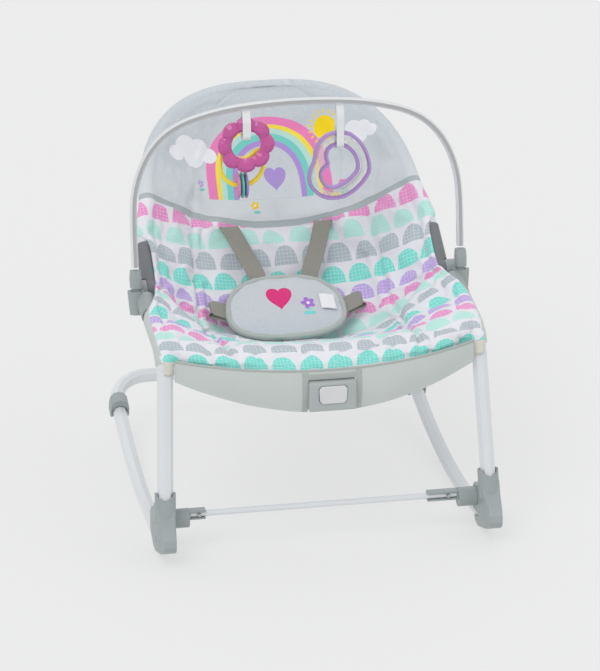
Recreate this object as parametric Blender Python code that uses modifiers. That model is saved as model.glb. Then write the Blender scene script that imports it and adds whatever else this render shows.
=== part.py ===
"""Bouncer seat: rocking tube base, sling seat with a reclining back, harness,
soothing unit and a toy bar with two hanging toys.

Metres, +Z up, +Y towards the head end, X = 0 is the plane of symmetry and
Z = 0 is the floor; "left" is -X. Pieces are drawn with Y = 0 near the front
feet, and at the end everything is moved so that the origin is under the middle.
"""
import math

import bmesh
import bpy
from mathutils import Matrix, Vector

# ---- driving dimensions -------------------------------------------------
ORIGIN_Y = 0.2765             # drawn from the front feet back; the origin is put here
LEG_RADIUS = 0.011            # front leg and seat side tube
RAIL_RADIUS = 0.010           # rocking base tube
BACK_RADIUS = 0.0095          # backrest tube
GAP = 0.0003                  # clearance between touching parts

LEG_X = 0.2275                # half spread of the legs at the feet
LEG_TOP_X = 0.2180            # and of the side tubes they turn into
LEG_FOOT = (0.0395, 0.052)    # (y, z) of the lower end of the leg axis
LEG_BEND = (0.0845, 0.285)    # (y, z) of the corner the leg is bent round
SIDE_END = (0.224, 0.3045)    # (y, z) where the side tube ends in the hub
LEG_BEND_RADIUS = 0.045

ROCK_Y = 0.215                # where the rockers touch the floor
ROCK_RADIUS = 0.85
RAIL_FRONT = (0.2265, 0.046)  # (x, y) of the front end of a rocker
RAIL_REAR = (0.2195, 0.495)   # (x, y) where the rear bend starts
REAR_BEND_RADIUS = 0.050

FOOT_HALF_WIDTH = 0.0125
TOE_HALF_WIDTH = 0.0085         # the foot narrows towards its raised toe
SOLE_HALF_WIDTH = 0.0078        # and towards the floor
COLLAR_RADIUS = 0.0145
KNOB_CENTRE = (0.074, 0.047)  # (y, z)
CROSS_AXIS = (0.074, 0.052)   # (y, z)
CROSS_RADIUS = 0.0043

HUB_AXIS = (0.270, 0.309)     # (y, z) of the recline axis
HUB_RADIUS = 0.016
BACK_X = 0.205                # half width of the backrest tube
BACK_ANGLE = math.radians(39)
BACK_LENGTH = 0.3215          # hub axis to the top of the backrest tube
HEAD_START = 0.060            # distance from the hub where the head curve starts
HEAD_POWER = 2.8
HEAD_WAIST = 0.054            # share by which the tube narrows above the recline arms

BAR_LEAN = 0.15               # backward lean of the toy bar, dy per dz
BAR_X = 0.2305
BAR_FOOT = (0.2475, 0.322)    # (y, z) of the top of the socket
BAR_SHAPE = ((0.2305, 0.352), (0.2305, 0.420), (0.2265, 0.460), (0.2140, 0.495),
             (0.1950, 0.522), (0.1700, 0.541), (0.1350, 0.554), (0.0800, 0.564),
             (0.0, 0.568))

UNIT_Z = (0.2150, 0.2575)
UNIT_Y = (0.009, 0.0465)
UNIT_HALF_WIDTH = 0.033

SLING_CENTRE = ((0.028, 0.2725), (0.058, 0.282), (0.100, 0.279), (0.145, 0.256),
                (0.190, 0.236), (0.235, 0.224), (0.285, 0.227))
SLING_SIDE = ((0.066, 0.288), (0.092, 0.298), (0.120, 0.303), (0.150, 0.307),
              (0.180, 0.310), (0.212, 0.313), (0.245, 0.316))
SLING_HALF_WIDTH = 0.1990
# (distance up the backrest, sag of the panel's middle below the backrest plane)
BACK_SAG = ((0.000, 0.0735), (0.028, 0.067), (0.060, 0.0626), (0.092, 0.057),
            (0.124, 0.055), (0.160, 0.053), (0.200, 0.045), (0.240, 0.032),
            (0.275, 0.018), (0.299, 0.0105))
BACK_EDGE_X = 0.180           # half width of the panel beside the hubs
SLING_THICKNESS = 0.007
SLING_POWER = 2.2

FLOWER_X = -0.068
HEART_X = 0.064


# ---- scene helpers ------------------------------------------------------
for old in list(bpy.data.objects):
    bpy.data.objects.remove(old, do_unlink=True)

PARTS = bpy.data.collections.new("bouncer_seat")
CUTTERS = bpy.data.collections.new("cutters")
bpy.context.scene.collection.children.link(PARTS)
bpy.context.scene.collection.children.link(CUTTERS)


def material(name, colour, roughness, metallic=0.0):
    """A plain Principled material."""
    made = bpy.data.materials.new(name)
    made.use_nodes = True
    shader = made.node_tree.nodes["Principled BSDF"]
    shader.inputs["Base Color"].default_value = (*colour, 1.0)
    shader.inputs["Roughness"].default_value = roughness
    shader.inputs["Metallic"].default_value = metallic
    made.diffuse_color = (*colour, 1.0)
    return made


WHITE_STEEL = material("white_painted_steel", (0.80, 0.82, 0.83), 0.35, 0.0)
BAR_PAINT = material("silver_grey_bar", (0.60, 0.62, 0.63), 0.35, 0.1)
GREY_PLASTIC = material("grey_moulded_plastic", (0.33, 0.36, 0.36), 0.5)
DARK_PLASTIC = material("dark_grey_plastic", (0.20, 0.22, 0.22), 0.5)
STEEL = material("bright_steel", (0.62, 0.62, 0.62), 0.3, 1.0)
PATTERN_FABRIC = material("patterned_fabric", (0.82, 0.82, 0.85), 0.9)
GREY_FABRIC = material("grey_fabric", (0.60, 0.65, 0.67), 0.9)
SKIRT_FABRIC = material("skirt_fabric", (0.53, 0.57, 0.55), 0.9)
WEBBING = material("taupe_webbing", (0.31, 0.29, 0.27), 0.85)
WHITE_WEBBING = material("white_webbing", (0.80, 0.80, 0.80), 0.85)
WHITE_PLASTIC = material("milky_white_plastic", (0.84, 0.85, 0.84), 0.4)
GREEN_BOARD = material("green_circuit_board", (0.05, 0.25, 0.10), 0.6)
CELL_WRAP = material("battery_wrap", (0.10, 0.10, 0.12), 0.4)
MAGENTA = material("magenta_plastic", (0.58, 0.09, 0.35), 0.35)
YELLOW = material("yellow_plastic", (0.93, 0.62, 0.01), 0.35)
PINK = material("pink_plastic", (0.78, 0.27, 0.60), 0.35)
TEAL = material("teal_plastic", (0.11, 0.74, 0.51), 0.35)
PURPLE = material("purple_plastic", (0.42, 0.26, 0.66), 0.35)
CLEAR = material("clear_plastic", (0.85, 0.85, 0.88), 0.1)
MINT = material("mint_plastic", (0.39, 0.79, 0.61), 0.35)


def adopt(obj, name, look, collection=PARTS):
    """Names an object, gives it its material and files it in a collection."""
    for owner in list(obj.users_collection):
        owner.objects.unlink(obj)
    collection.objects.link(obj)
    obj.name = name
    obj.data.name = name
    if look is not None:
        obj.data.materials.clear()
        obj.data.materials.append(look)
    if collection is CUTTERS:
        obj.hide_render = True
        obj.display_type = "WIRE"
    return obj


def shade_round(obj, angle=math.radians(35)):
    """Smooth shading that keeps the real edges sharp."""
    obj.data.shade_smooth()
    obj.data.set_sharp_from_angle(angle=angle)
    return obj


def mesh_object(name, vertices, faces, look, collection=PARTS, smooth=True):
    """A closed mesh object with its faces turned outwards."""
    data = bpy.data.meshes.new(name)
    data.from_pydata([tuple(v) for v in vertices], [], faces)
    shell = bmesh.new()
    shell.from_mesh(data)
    bmesh.ops.recalc_face_normals(shell, faces=shell.faces)
    shell.to_mesh(data)
    shell.free()
    obj = adopt(bpy.data.objects.new(name, data), name, look, collection)
    if smooth:
        shade_round(obj)
    return obj


def loft(name, rings, look, collection=PARTS, closed=False, smooth=True):
    """Joins rings of equal length; the ends are capped unless closed."""
    size = len(rings[0])
    vertices = [p for ring in rings for p in ring]
    faces = []
    spans = len(rings) if closed else len(rings) - 1
    for k in range(spans):
        base, nxt = k * size, ((k + 1) % len(rings)) * size
        for i in range(size):
            j = (i + 1) % size
            faces.append((base + i, base + j, nxt + j, nxt + i))
    if not closed:
        faces.append(tuple(range(size)))
        faces.append(tuple((len(rings) - 1) * size + i for i in range(size)))
    return mesh_object(name, vertices, faces, look, collection, smooth)


def prism(name, outline, frame, low, high, look, collection=PARTS, bevel=0.0):
    """A filled flat outline (u, v), pushed along the third axis of a frame."""
    data = bpy.data.curves.new(name, "CURVE")
    data.dimensions = "2D"
    data.fill_mode = "BOTH"
    data.extrude = (high - low) / 2
    spline = data.splines.new("POLY")
    spline.points.add(len(outline) - 1)
    for point, (u, v) in zip(spline.points, outline):
        point.co = (u, v, 0.0, 1.0)
    spline.use_cyclic_u = True
    flat = bpy.data.objects.new(name, data)
    bpy.context.scene.collection.objects.link(flat)
    evaluated = flat.evaluated_get(bpy.context.evaluated_depsgraph_get())
    solid = bpy.data.meshes.new_from_object(evaluated)
    bpy.data.objects.remove(flat, do_unlink=True)
    bpy.data.curves.remove(data)
    solid.transform(frame @ Matrix.Translation((0, 0, (low + high) / 2)))
    shell = bmesh.new()
    shell.from_mesh(solid)
    bmesh.ops.remove_doubles(shell, verts=shell.verts, dist=1e-6)
    bmesh.ops.dissolve_limit(shell, angle_limit=0.001, verts=shell.verts, edges=shell.edges)
    bmesh.ops.recalc_face_normals(shell, faces=shell.faces)
    shell.to_mesh(solid)
    shell.free()
    obj = adopt(bpy.data.objects.new(name, solid), name, look, collection)
    shade_round(obj)
    if bevel:
        round_edges(obj, bevel)
    return obj


def round_edges(obj, width, segments=2, angle=math.radians(35)):
    """A bevel on the sharp edges."""
    bevel = obj.modifiers.new("rounded_edges", "BEVEL")
    bevel.width = width
    bevel.segments = segments
    bevel.limit_method = "ANGLE"
    bevel.angle_limit = angle
    bevel.harden_normals = False
    return obj


def axes(origin, u, v):
    """A frame with its first two axes along u and v."""
    u = Vector(u).normalized()
    v = Vector(v).normalized()
    w = u.cross(v)
    frame = Matrix((u, v, w)).transposed().to_4x4()
    frame.translation = Vector(origin)
    return frame


def side_plane(x=0.0):
    """Frame whose outlines are drawn as (y, z) and pushed along X."""
    return axes((x, 0, 0), (0, 1, 0), (0, 0, 1))


def rod(name, start, end, radius, look, collection=PARTS, sides=24, end_radius=None):
    """A round bar or cone between two points."""
    start, end = Vector(start), Vector(end)
    along = end - start
    turn = along.to_track_quat("Z", "Y")
    if end_radius is None:
        bpy.ops.mesh.primitive_cylinder_add(vertices=sides, radius=radius, depth=along.length)
    else:
        bpy.ops.mesh.primitive_cone_add(vertices=sides, radius1=radius, radius2=end_radius,
                                        depth=along.length)
    obj = adopt(bpy.context.object, name, look, collection)
    obj.location = (start + end) / 2
    obj.rotation_euler = turn.to_euler()
    return shade_round(obj)


def block(name, low, high, look, collection=PARTS, bevel=0.0):
    """A box given by two corners."""
    bpy.ops.mesh.primitive_cube_add(size=1.0)
    obj = adopt(bpy.context.object, name, look, collection)
    size = [b - a for a, b in zip(low, high)]
    centre = [(a + b) / 2 for a, b in zip(low, high)]
    obj.data.transform(Matrix.Diagonal((*size, 1.0)))
    obj.location = centre
    if bevel:
        round_edges(obj, bevel)
    return obj


def combine(target, other, operation):
    """Adds or removes the shape of another object."""
    boolean = target.modifiers.new(operation.lower(), "BOOLEAN")
    boolean.operation = operation
    boolean.solver = "EXACT"
    boolean.object = other
    return target


def fillet(points, radius, steps):
    """A polyline with its inner corners rounded."""
    points = [Vector(p) for p in points]
    path = [points[0]]
    for before, corner, after in zip(points, points[1:], points[2:]):
        a = (before - corner).normalized()
        b = (after - corner).normalized()
        half = a.angle(b) / 2
        reach = radius / math.tan(half)
        centre = corner + (a + b).normalized() * (radius / math.sin(half))
        start = (corner + a * reach - centre).normalized()
        end = (corner + b * reach - centre).normalized()
        for k in range(steps + 1):
            path.append(centre + start.slerp(end, k / steps) * radius)
    path.append(points[-1])
    return path


def tube(name, path, radius, look, resolution=2, cyclic=False):
    """A round tube along a path."""
    data = bpy.data.curves.new(name, "CURVE")
    data.dimensions = "3D"
    data.bevel_depth = radius
    data.bevel_resolution = resolution
    data.use_fill_caps = not cyclic
    spline = data.splines.new("POLY")
    spline.points.add(len(path) - 1)
    for point, place in zip(spline.points, path):
        point.co = (*place, 1.0)
    spline.use_cyclic_u = cyclic
    obj = bpy.data.objects.new(name, data)
    return adopt(obj, name, look)


def smooth_curve(points, steps):
    """A Catmull-Rom curve through the points."""
    points = [Vector(p) for p in points]
    ends = [points[0] * 2 - points[1]] + points + [points[-1] * 2 - points[-2]]
    path = []
    for k in range(1, len(ends) - 2):
        a, b, c, d = ends[k - 1:k + 3]
        for i in range(steps):
            t = i / steps
            path.append(0.5 * (2 * b + (c - a) * t + (2 * a - 5 * b + 4 * c - d) * t * t
                               + (3 * b - a - 3 * c + d) * t ** 3))
    path.append(points[-1])
    return path


def cloth_panel(name, rows, thickness, look):
    """An open surface through rows of points, given thickness below its face."""
    size = len(rows[0])
    vertices = [p for row in rows for p in row]
    faces = [(k * size + i, k * size + i + 1, (k + 1) * size + i + 1, (k + 1) * size + i)
             for k in range(len(rows) - 1) for i in range(size - 1)]
    data = bpy.data.meshes.new(name)
    data.from_pydata(vertices, [], faces)
    panel = adopt(bpy.data.objects.new(name, data), name, look)
    solidify = panel.modifiers.new("thickness", "SOLIDIFY")
    solidify.thickness = thickness
    solidify.offset = -1.0
    return shade_round(panel)


def rail_height(y):
    """Height of the rocker axis above the floor."""
    return RAIL_RADIUS + (y - ROCK_Y) ** 2 / (2 * ROCK_RADIUS)


def rail_point(y, side):
    """A point of the rocker axis."""
    t = (y - RAIL_FRONT[1]) / (RAIL_REAR[1] - RAIL_FRONT[1])
    x = RAIL_FRONT[0] + (RAIL_REAR[0] - RAIL_FRONT[0]) * t
    return Vector((side * x, y, rail_height(y)))


def bar_point(x, z):
    """A point of the leaning plane the toy bar lies in."""
    return Vector((x, BAR_FOOT[0] + BAR_LEAN * (z - BAR_FOOT[1]), z))


def back_point(x, s, lift=0.0):
    """A point of the backrest plane, s along it from the hub axis."""
    return Vector((x, HUB_AXIS[0] + s * math.cos(BACK_ANGLE) - lift * math.sin(BACK_ANGLE),
                   HUB_AXIS[1] + s * math.sin(BACK_ANGLE) + lift * math.cos(BACK_ANGLE)))


def label(side):
    """The word a side is called by."""
    return "left" if side < 0 else "right"


def leg_up(side):
    """Direction of a leg, which leans back and a little inwards."""
    return Vector((side * (LEG_TOP_X - LEG_X), LEG_BEND[0] - LEG_FOOT[0],
                   LEG_BEND[1] - LEG_FOOT[1])).normalized()


SIDE_DIR = Vector((0, SIDE_END[0] - LEG_BEND[0], SIDE_END[1] - LEG_BEND[1])).normalized()
BAR_UP = Vector((0, BAR_LEAN, 1)).normalized()


# ---- rocking base -------------------------------------------------------
def side_tube(side):
    """Front leg, bent back into the seat's side tube."""
    top = side * LEG_TOP_X
    corners = [(side * LEG_X, *LEG_FOOT), (top, *LEG_BEND), (top, *SIDE_END)]
    tube(f"{label(side)}_side_tube", fillet(corners, LEG_BEND_RADIUS, 8), LEG_RADIUS,
         WHITE_STEEL)


def base_tube():
    """One tube: left rocker, rear cross part, right rocker."""
    rail_ys = [RAIL_FRONT[1] + (RAIL_REAR[1] - RAIL_FRONT[1]) * k / 14 for k in range(15)]
    left = [rail_point(y, -1) for y in rail_ys]
    bend = []
    for k in range(1, 9):
        turn = math.pi / 2 * k / 8
        y = RAIL_REAR[1] + REAR_BEND_RADIUS * math.sin(turn)
        x = -RAIL_REAR[0] + REAR_BEND_RADIUS * (1 - math.cos(turn))
        bend.append(Vector((x, y, rail_height(y))))
    half = left + bend
    mirrored = [Vector((-p.x, p.y, p.z)) for p in reversed(half)]
    tube("base_tube", half + mirrored, RAIL_RADIUS, WHITE_STEEL)


FOOT_OUTLINE = ((0.074, 0.0), (0.089, 0.0), (0.092, 0.006), (0.092, 0.056), (0.086, 0.063),
                (0.066, 0.068), (0.060, 0.080), (0.036, 0.084), (0.030, 0.068), (0.020, 0.062),
                (0.008, 0.054), (0.000, 0.045), (-0.002, 0.036), (0.001, 0.029),
                (0.009, 0.0235), (0.024, 0.0175), (0.044, 0.0105), (0.062, 0.0045))


def foot(side):
    """Moulded front foot: collar for the leg, socket for the rocker, rocking stop."""
    name = f"{label(side)}_foot"
    x = side * LEG_X
    body = prism(name, FOOT_OUTLINE, side_plane(x), -FOOT_HALF_WIDTH, FOOT_HALF_WIDTH,
                 GREY_PLASTIC)
    for hand in (-1, 1):
        full, out = x + hand * (FOOT_HALF_WIDTH + 0.0002), x + hand * 0.030
        toe, sole = x + hand * TOE_HALF_WIDTH, x + hand * SOLE_HALF_WIDTH
        front = prism(f"{name}_toe_taper", ((full, 0.034), (toe, -0.006), (out, -0.006),
                                            (out, 0.034)),
                      axes((0, 0, 0), (1, 0, 0), (0, 1, 0)), -0.02, 0.09, None, CUTTERS)
        under = prism(f"{name}_sole_taper", ((full, 0.028), (sole, -0.002), (out, -0.002),
                                             (out, 0.028)),
                      axes((0, 0, 0), (1, 0, 0), (0, 0, 1)), -0.12, 0.02, None, CUTTERS)
        combine(body, front, "DIFFERENCE")
        combine(body, under, "DIFFERENCE")
    round_edges(body, 0.0042, 3)
    low = Vector((x, *LEG_FOOT))
    up = leg_up(side)
    collar = rod(f"{name}_collar", low + up * 0.005, low + up * 0.046,
                 COLLAR_RADIUS, None, CUTTERS, 24)
    bore = rod(f"{name}_leg_bore", low - up * 0.001, low + up * 0.08,
               LEG_RADIUS + 2 * GAP, None, CUTTERS, 32)
    scoop = rod(f"{name}_scoop", (x, -0.02, 0.103), (x, 0.12, 0.103), 0.0125, None,
                CUTTERS, 20)
    front = rail_point(RAIL_FRONT[1] - 0.0005, side)
    rear = rail_point(0.11, side)
    socket = rod(f"{name}_rail_bore", front, rear, RAIL_RADIUS + 3 * GAP, None, CUTTERS, 32)
    recess = rod(f"{name}_screw_recess", (side * (LEG_X + 0.0108), 0.046, 0.030),
                 (side * (LEG_X + 0.02), 0.046, 0.030), 0.0040, None, CUTTERS, 16)
    combine(body, collar, "UNION")
    combine(body, bore, "DIFFERENCE")
    combine(body, scoop, "DIFFERENCE")
    combine(body, socket, "DIFFERENCE")
    combine(body, recess, "DIFFERENCE")
    rod(f"{name}_screw", (side * (LEG_X + 0.0110), 0.046, 0.030),
        (side * (LEG_X + 0.0130), 0.046, 0.030), 0.0034, STEEL, sides=16)


def cross_bracket(side):
    """Knob on the inner face of a foot with a channel for the cross tube."""
    y, z = KNOB_CENTRE
    inner = side * (LEG_X - FOOT_HALF_WIDTH - GAP)
    name = f"{label(side)}_cross_bracket"
    knob = rod(name, (inner, y, z), (side * 0.1895, y, z), 0.0135, GREY_PLASTIC)
    reach = 0.026 if side < 0 else 0.046
    cy, cz = CROSS_AXIS
    channel = block(f"{name}_channel", (-reach / 2, -0.0062, -0.0064),
                    (reach / 2, 0.0062, 0.0064), None, CUTTERS)
    channel.location = (side * (0.192 - reach / 2), cy, cz)
    combine(knob, channel, "UNION")
    bore = rod(f"{name}_bore", (side * 0.200, cy, cz), (side * 0.08, cy, cz),
               CROSS_RADIUS + GAP, None, CUTTERS, 16)
    combine(knob, bore, "DIFFERENCE")
    groove = block(f"{name}_groove", (-0.04, -0.0052, -0.0044), (0.04, 0.0052, 0.0044), None,
                   CUTTERS)
    groove.location = (side * 0.1475, cy - 0.0052, cz)
    combine(knob, groove, "DIFFERENCE")
    rod(f"{label(side)}_cross_tube_screw", (side * 0.175, cy - 0.0078, cz),
        (side * 0.175, cy - 0.0050, cz), 0.0027, STEEL, sides=16)


def cross_tube():
    """Thin tube between the two front feet."""
    y, z = CROSS_AXIS
    rod("front_cross_tube", (-0.197, y, z), (0.197, y, z), CROSS_RADIUS, WHITE_STEEL, sides=16)


def kickstand(side):
    """Clip round the rocker that is turned under it to stop the rocking."""
    y = 0.4810
    centre = rail_point(y, side)
    along = (rail_point(y + 0.01, side) - rail_point(y - 0.01, side)).normalized()
    across = Vector((1, 0, 0)) - along * along.x
    up = along.cross(across).normalized() * -1
    frame = axes(centre, across, up)
    bore = RAIL_RADIUS + 0.0008
    outer = RAIL_RADIUS + 0.0036
    outline = [(-outer, -0.008), (-outer, 0.005), (-0.0122, 0.0135), (-0.0075, 0.0200),
               (0.0, 0.0225), (0.0075, 0.0200), (0.0122, 0.0135), (outer, 0.005),
               (outer, -0.008)]
    for k in range(13):
        turn = math.radians(-42 + 264 * k / 12)
        outline.append((bore * math.cos(turn), bore * math.sin(turn)))
    body = prism(f"{label(side)}_kickstand", outline, frame, -0.0105, 0.0105, GREY_PLASTIC,
                 bevel=0.0014)
    body.data.transform(Matrix.Translation(-centre))
    body.location = centre


# ---- hubs, backrest -----------------------------------------------------
def hub(side):
    """Fixed hub: sleeve on the side tube, toy bar socket, recline boss."""
    name = f"{label(side)}_hub"
    y, z = HUB_AXIS
    end = Vector((side * LEG_TOP_X, *SIDE_END))
    body = rod(name, end - SIDE_DIR * 0.030, end + SIDE_DIR * 0.016, 0.0136, GREY_PLASTIC)
    cup_top = Vector((side * BAR_X, *BAR_FOOT))
    cup = rod(f"{name}_cup", cup_top - BAR_UP * 0.036, cup_top - BAR_UP * 0.003, 0.0095,
              None, CUTTERS, 24, end_radius=0.0120)
    boss = rod(f"{name}_boss", (side * 0.2125, y, z), (side * 0.2265, y, z), HUB_RADIUS,
               None, CUTTERS, 28)
    bore = rod(f"{name}_bore", end - SIDE_DIR * 0.05, end + SIDE_DIR * GAP,
               LEG_RADIUS + 2 * GAP, None, CUTTERS, 32)
    pocket = block(f"{name}_pocket", (-0.0062, -0.0074, -0.022), (0.0062, 0.0074, 0.02),
                   None, CUTTERS)
    pocket.location = cup_top
    pocket.rotation_euler = (-math.atan(BAR_LEAN), 0, 0)
    seat = rod(f"{name}_button_seat", (side * 0.2170, y, z), (side * 0.24, y, z), 0.0083,
               None, CUTTERS, 24)
    bolt_hole = rod(f"{name}_bolt_hole", (side * 0.20, y, z), (side * 0.2180, y, z), 0.0043,
                    None, CUTTERS, 16)
    combine(body, cup, "UNION")
    combine(body, boss, "UNION")
    for cutter in (bore, pocket, seat, bolt_hole):
        combine(body, cutter, "DIFFERENCE")
    bolt = rod(f"{label(side)}_pivot_bolt", (side * 0.1955, y, z), (side * 0.2165, y, z),
               0.0039, STEEL, sides=16)
    head = rod(f"{name}_bolt_head", (side * 0.1955, y, z), (side * 0.1980, y, z), 0.0070,
               None, CUTTERS, 6)
    combine(bolt, head, "UNION")
    button = rod(f"{label(side)}_recline_button", (side * 0.2200, y, z),
                 (side * 0.2290, y, z), 0.0079, DARK_PLASTIC)
    round_edges(button, 0.0012)


def recline_arm(side):
    """Moving half of the hub with the sleeve that holds the backrest tube."""
    name = f"{label(side)}_recline_arm"
    y, z = HUB_AXIS
    body = rod(name, (side * 0.1985, y, z), (side * 0.2119, y, z), HUB_RADIUS, DARK_PLASTIC,
               sides=28)
    body.location = (body.location.x, y, z)
    sleeve = rod(f"{name}_sleeve", back_point(side * BACK_X, 0.004),
                 back_point(side * BACK_X, 0.074), 0.0142, None, CUTTERS, 24,
                 end_radius=0.0112)
    flat = rod(f"{name}_flat", (side * 0.2121, y, z), (side * 0.24, y, z),
               HUB_RADIUS + 0.0010, None, CUTTERS, 32)
    bore = rod(f"{name}_bore", back_point(side * BACK_X, 0.0205),
               back_point(side * BACK_X, 0.10), BACK_RADIUS + 2 * GAP, None, CUTTERS, 32)
    hole = rod(f"{name}_hole", (side * 0.190, y, z), (side * 0.22, y, z), 0.0043, None,
               CUTTERS, 16)
    recess = rod(f"{name}_recess", (side * 0.190, y, z), (side * 0.2014, y, z), 0.0076,
                 None, CUTTERS, 16)
    combine(body, sleeve, "UNION")
    for cutter in (flat, bore, hole, recess):
        combine(body, cutter, "DIFFERENCE")


def waisted(x, s):
    """A half width drawn in by the slight waist above the recline arms."""
    t = min(1.0, max(0.0, (s - 0.076) / 0.074))
    return x * (1 - HEAD_WAIST * t * t * (3 - 2 * t))


def head_outline(s):
    """Half width of the backrest tube at a distance from the hub axis."""
    over = max(0.0, s - HEAD_START) / (BACK_LENGTH - HEAD_START)
    return waisted(BACK_X * max(0.0, 1 - over ** HEAD_POWER) ** (1 / HEAD_POWER), s)


def backrest_tube():
    """One tube bent into the wide rounded head of the backrest."""
    half = [back_point(-BACK_X, 0.021)]
    half += [back_point(-head_outline(s), s) for s in (0.076, 0.096)]
    for k in range(1, 13):
        turn = math.pi / 2 * k / 13
        x = BACK_X * math.cos(turn) ** (2 / HEAD_POWER)
        s = HEAD_START + (BACK_LENGTH - HEAD_START) * math.sin(turn) ** (2 / HEAD_POWER)
        half.append(back_point(-waisted(x, s), s))
    top = [back_point(0.0, BACK_LENGTH)]
    mirrored = [Vector((-p.x, p.y, p.z)) for p in reversed(half)]
    tube("backrest_tube", half + top + mirrored, BACK_RADIUS, WHITE_STEEL)


# ---- soft parts ---------------------------------------------------------
COLUMNS = 12


def panel_row(centre, edge):
    """Points across the sling from edge to edge, hanging between the tubes."""
    row = []
    for i in range(COLUMNS + 1):
        u = 2 * i / COLUMNS - 1
        rise = abs(u) ** SLING_POWER
        row.append((edge[0] * u, centre[0] + (edge[1] - centre[0]) * rise,
                    centre[1] + (edge[2] - centre[1]) * rise))
    return row


def seat_sling():
    """Seat panel hung between the side tubes."""
    rows = []
    for centre, edge in zip(SLING_CENTRE, SLING_SIDE):
        rows.append(panel_row(centre, (SLING_HALF_WIDTH, *edge)))
    cloth_panel("seat_sling", rows, SLING_THICKNESS, PATTERN_FABRIC)


def back_panel():
    """Back and head panel hung inside the backrest tube."""
    rows = []
    for s, sag in BACK_SAG:
        half = min(BACK_EDGE_X + 0.06 * s, head_outline(s + 0.012) - 0.0140)
        middle = back_point(0.0, s, -sag)
        rows.append(panel_row((middle.y, middle.z), tuple(back_point(half, s))))
    cloth_panel("back_panel", rows, SLING_THICKNESS, GREY_FABRIC)


def front_skirt():
    """Curved grey band below the front edge, open in the middle for the unit."""
    rows = []
    for k in range(5):
        t = k / 4
        row = []
        for i in range(17):
            x = -0.211 + 0.422 * i / 16
            u = abs(x) / 0.211
            top = 0.2620 + 0.014 * u ** 2
            bottom = 0.2110 + 0.043 * u ** 1.8
            row.append((x, 0.022 + 0.045 * u ** 2.2 - 0.004 * math.sin(math.pi * t),
                        top + (bottom - top) * t))
        rows.append(row)
    rows.reverse()
    skirt = cloth_panel("front_skirt", rows, 0.003, SKIRT_FABRIC)
    wide = UNIT_HALF_WIDTH + 0.0010
    window = block("front_skirt_window", (-wide, -0.01, 0.15),
                   (wide, 0.06, UNIT_Z[1] + 0.0010), None, CUTTERS)
    combine(skirt, window, "DIFFERENCE")


PAD_TILT = math.radians(32)
PAD_CENTRE = (0.0, 0.2625, 0.2690)


def harness():
    """Crotch pad, buckle, crotch strap, waist straps and shoulder straps."""
    frame = axes(PAD_CENTRE, (1, 0, 0), (0, math.cos(PAD_TILT), math.sin(PAD_TILT)))
    outline = []
    for k in range(28):
        turn = 2 * math.pi * k / 28
        c, s = math.cos(turn), math.sin(turn)
        wide = 0.086 * math.copysign(abs(c) ** 0.8, c)
        tall = 0.058 * math.copysign(abs(s) ** 0.85, s) * (1.0 if s > 0 else 0.86)
        outline.append((wide, tall))
    prism("crotch_pad", outline, frame, -0.0045, 0.0045, GREY_FABRIC, bevel=0.002)
    buckle = block("harness_buckle", (-0.027, -0.020, -0.0165), (0.027, 0.016, -0.0060),
                   DARK_PLASTIC, bevel=0.003)
    buckle.matrix_world = frame @ Matrix.Translation((0, -0.002, -0.01125))
    strap("crotch_strap", [(0, 0.172, 0.2475), (0, 0.194, 0.2385), (0, 0.213, 0.2395)],
          (1, 0, 0), 0.030, WEBBING)
    for side in (-1, 1):
        strap(f"{label(side)}_waist_strap",
              [(side * 0.0885, 0.2640, 0.2690), (side * 0.104, 0.2690, 0.2705),
               (side * 0.119, 0.2735, 0.2755)], (0, 0.85, 0.53), 0.025, WEBBING)
        strap(f"{label(side)}_shoulder_strap",
              [(side * 0.037, 0.3165, 0.3035), (side * 0.053, 0.3470, 0.3260),
               (side * 0.068, 0.3780, 0.3500)], (1, 0, 0), 0.025, WEBBING)


def strap(name, path, across, width, look, thickness=0.0018):
    """A flat strap of webbing along a path."""
    across = Vector(across).normalized()
    path = [Vector(p) for p in path]
    rings = []
    for k, place in enumerate(path):
        along = (path[min(k + 1, len(path) - 1)] - path[max(k - 1, 0)]).normalized()
        normal = along.cross(across).normalized()
        half = across * (width / 2)
        deep = normal * (thickness / 2)
        rings.append([place - half - deep, place + half - deep, place + half + deep,
                      place - half + deep])
    return loft(name, rings, look, smooth=False)


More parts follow.
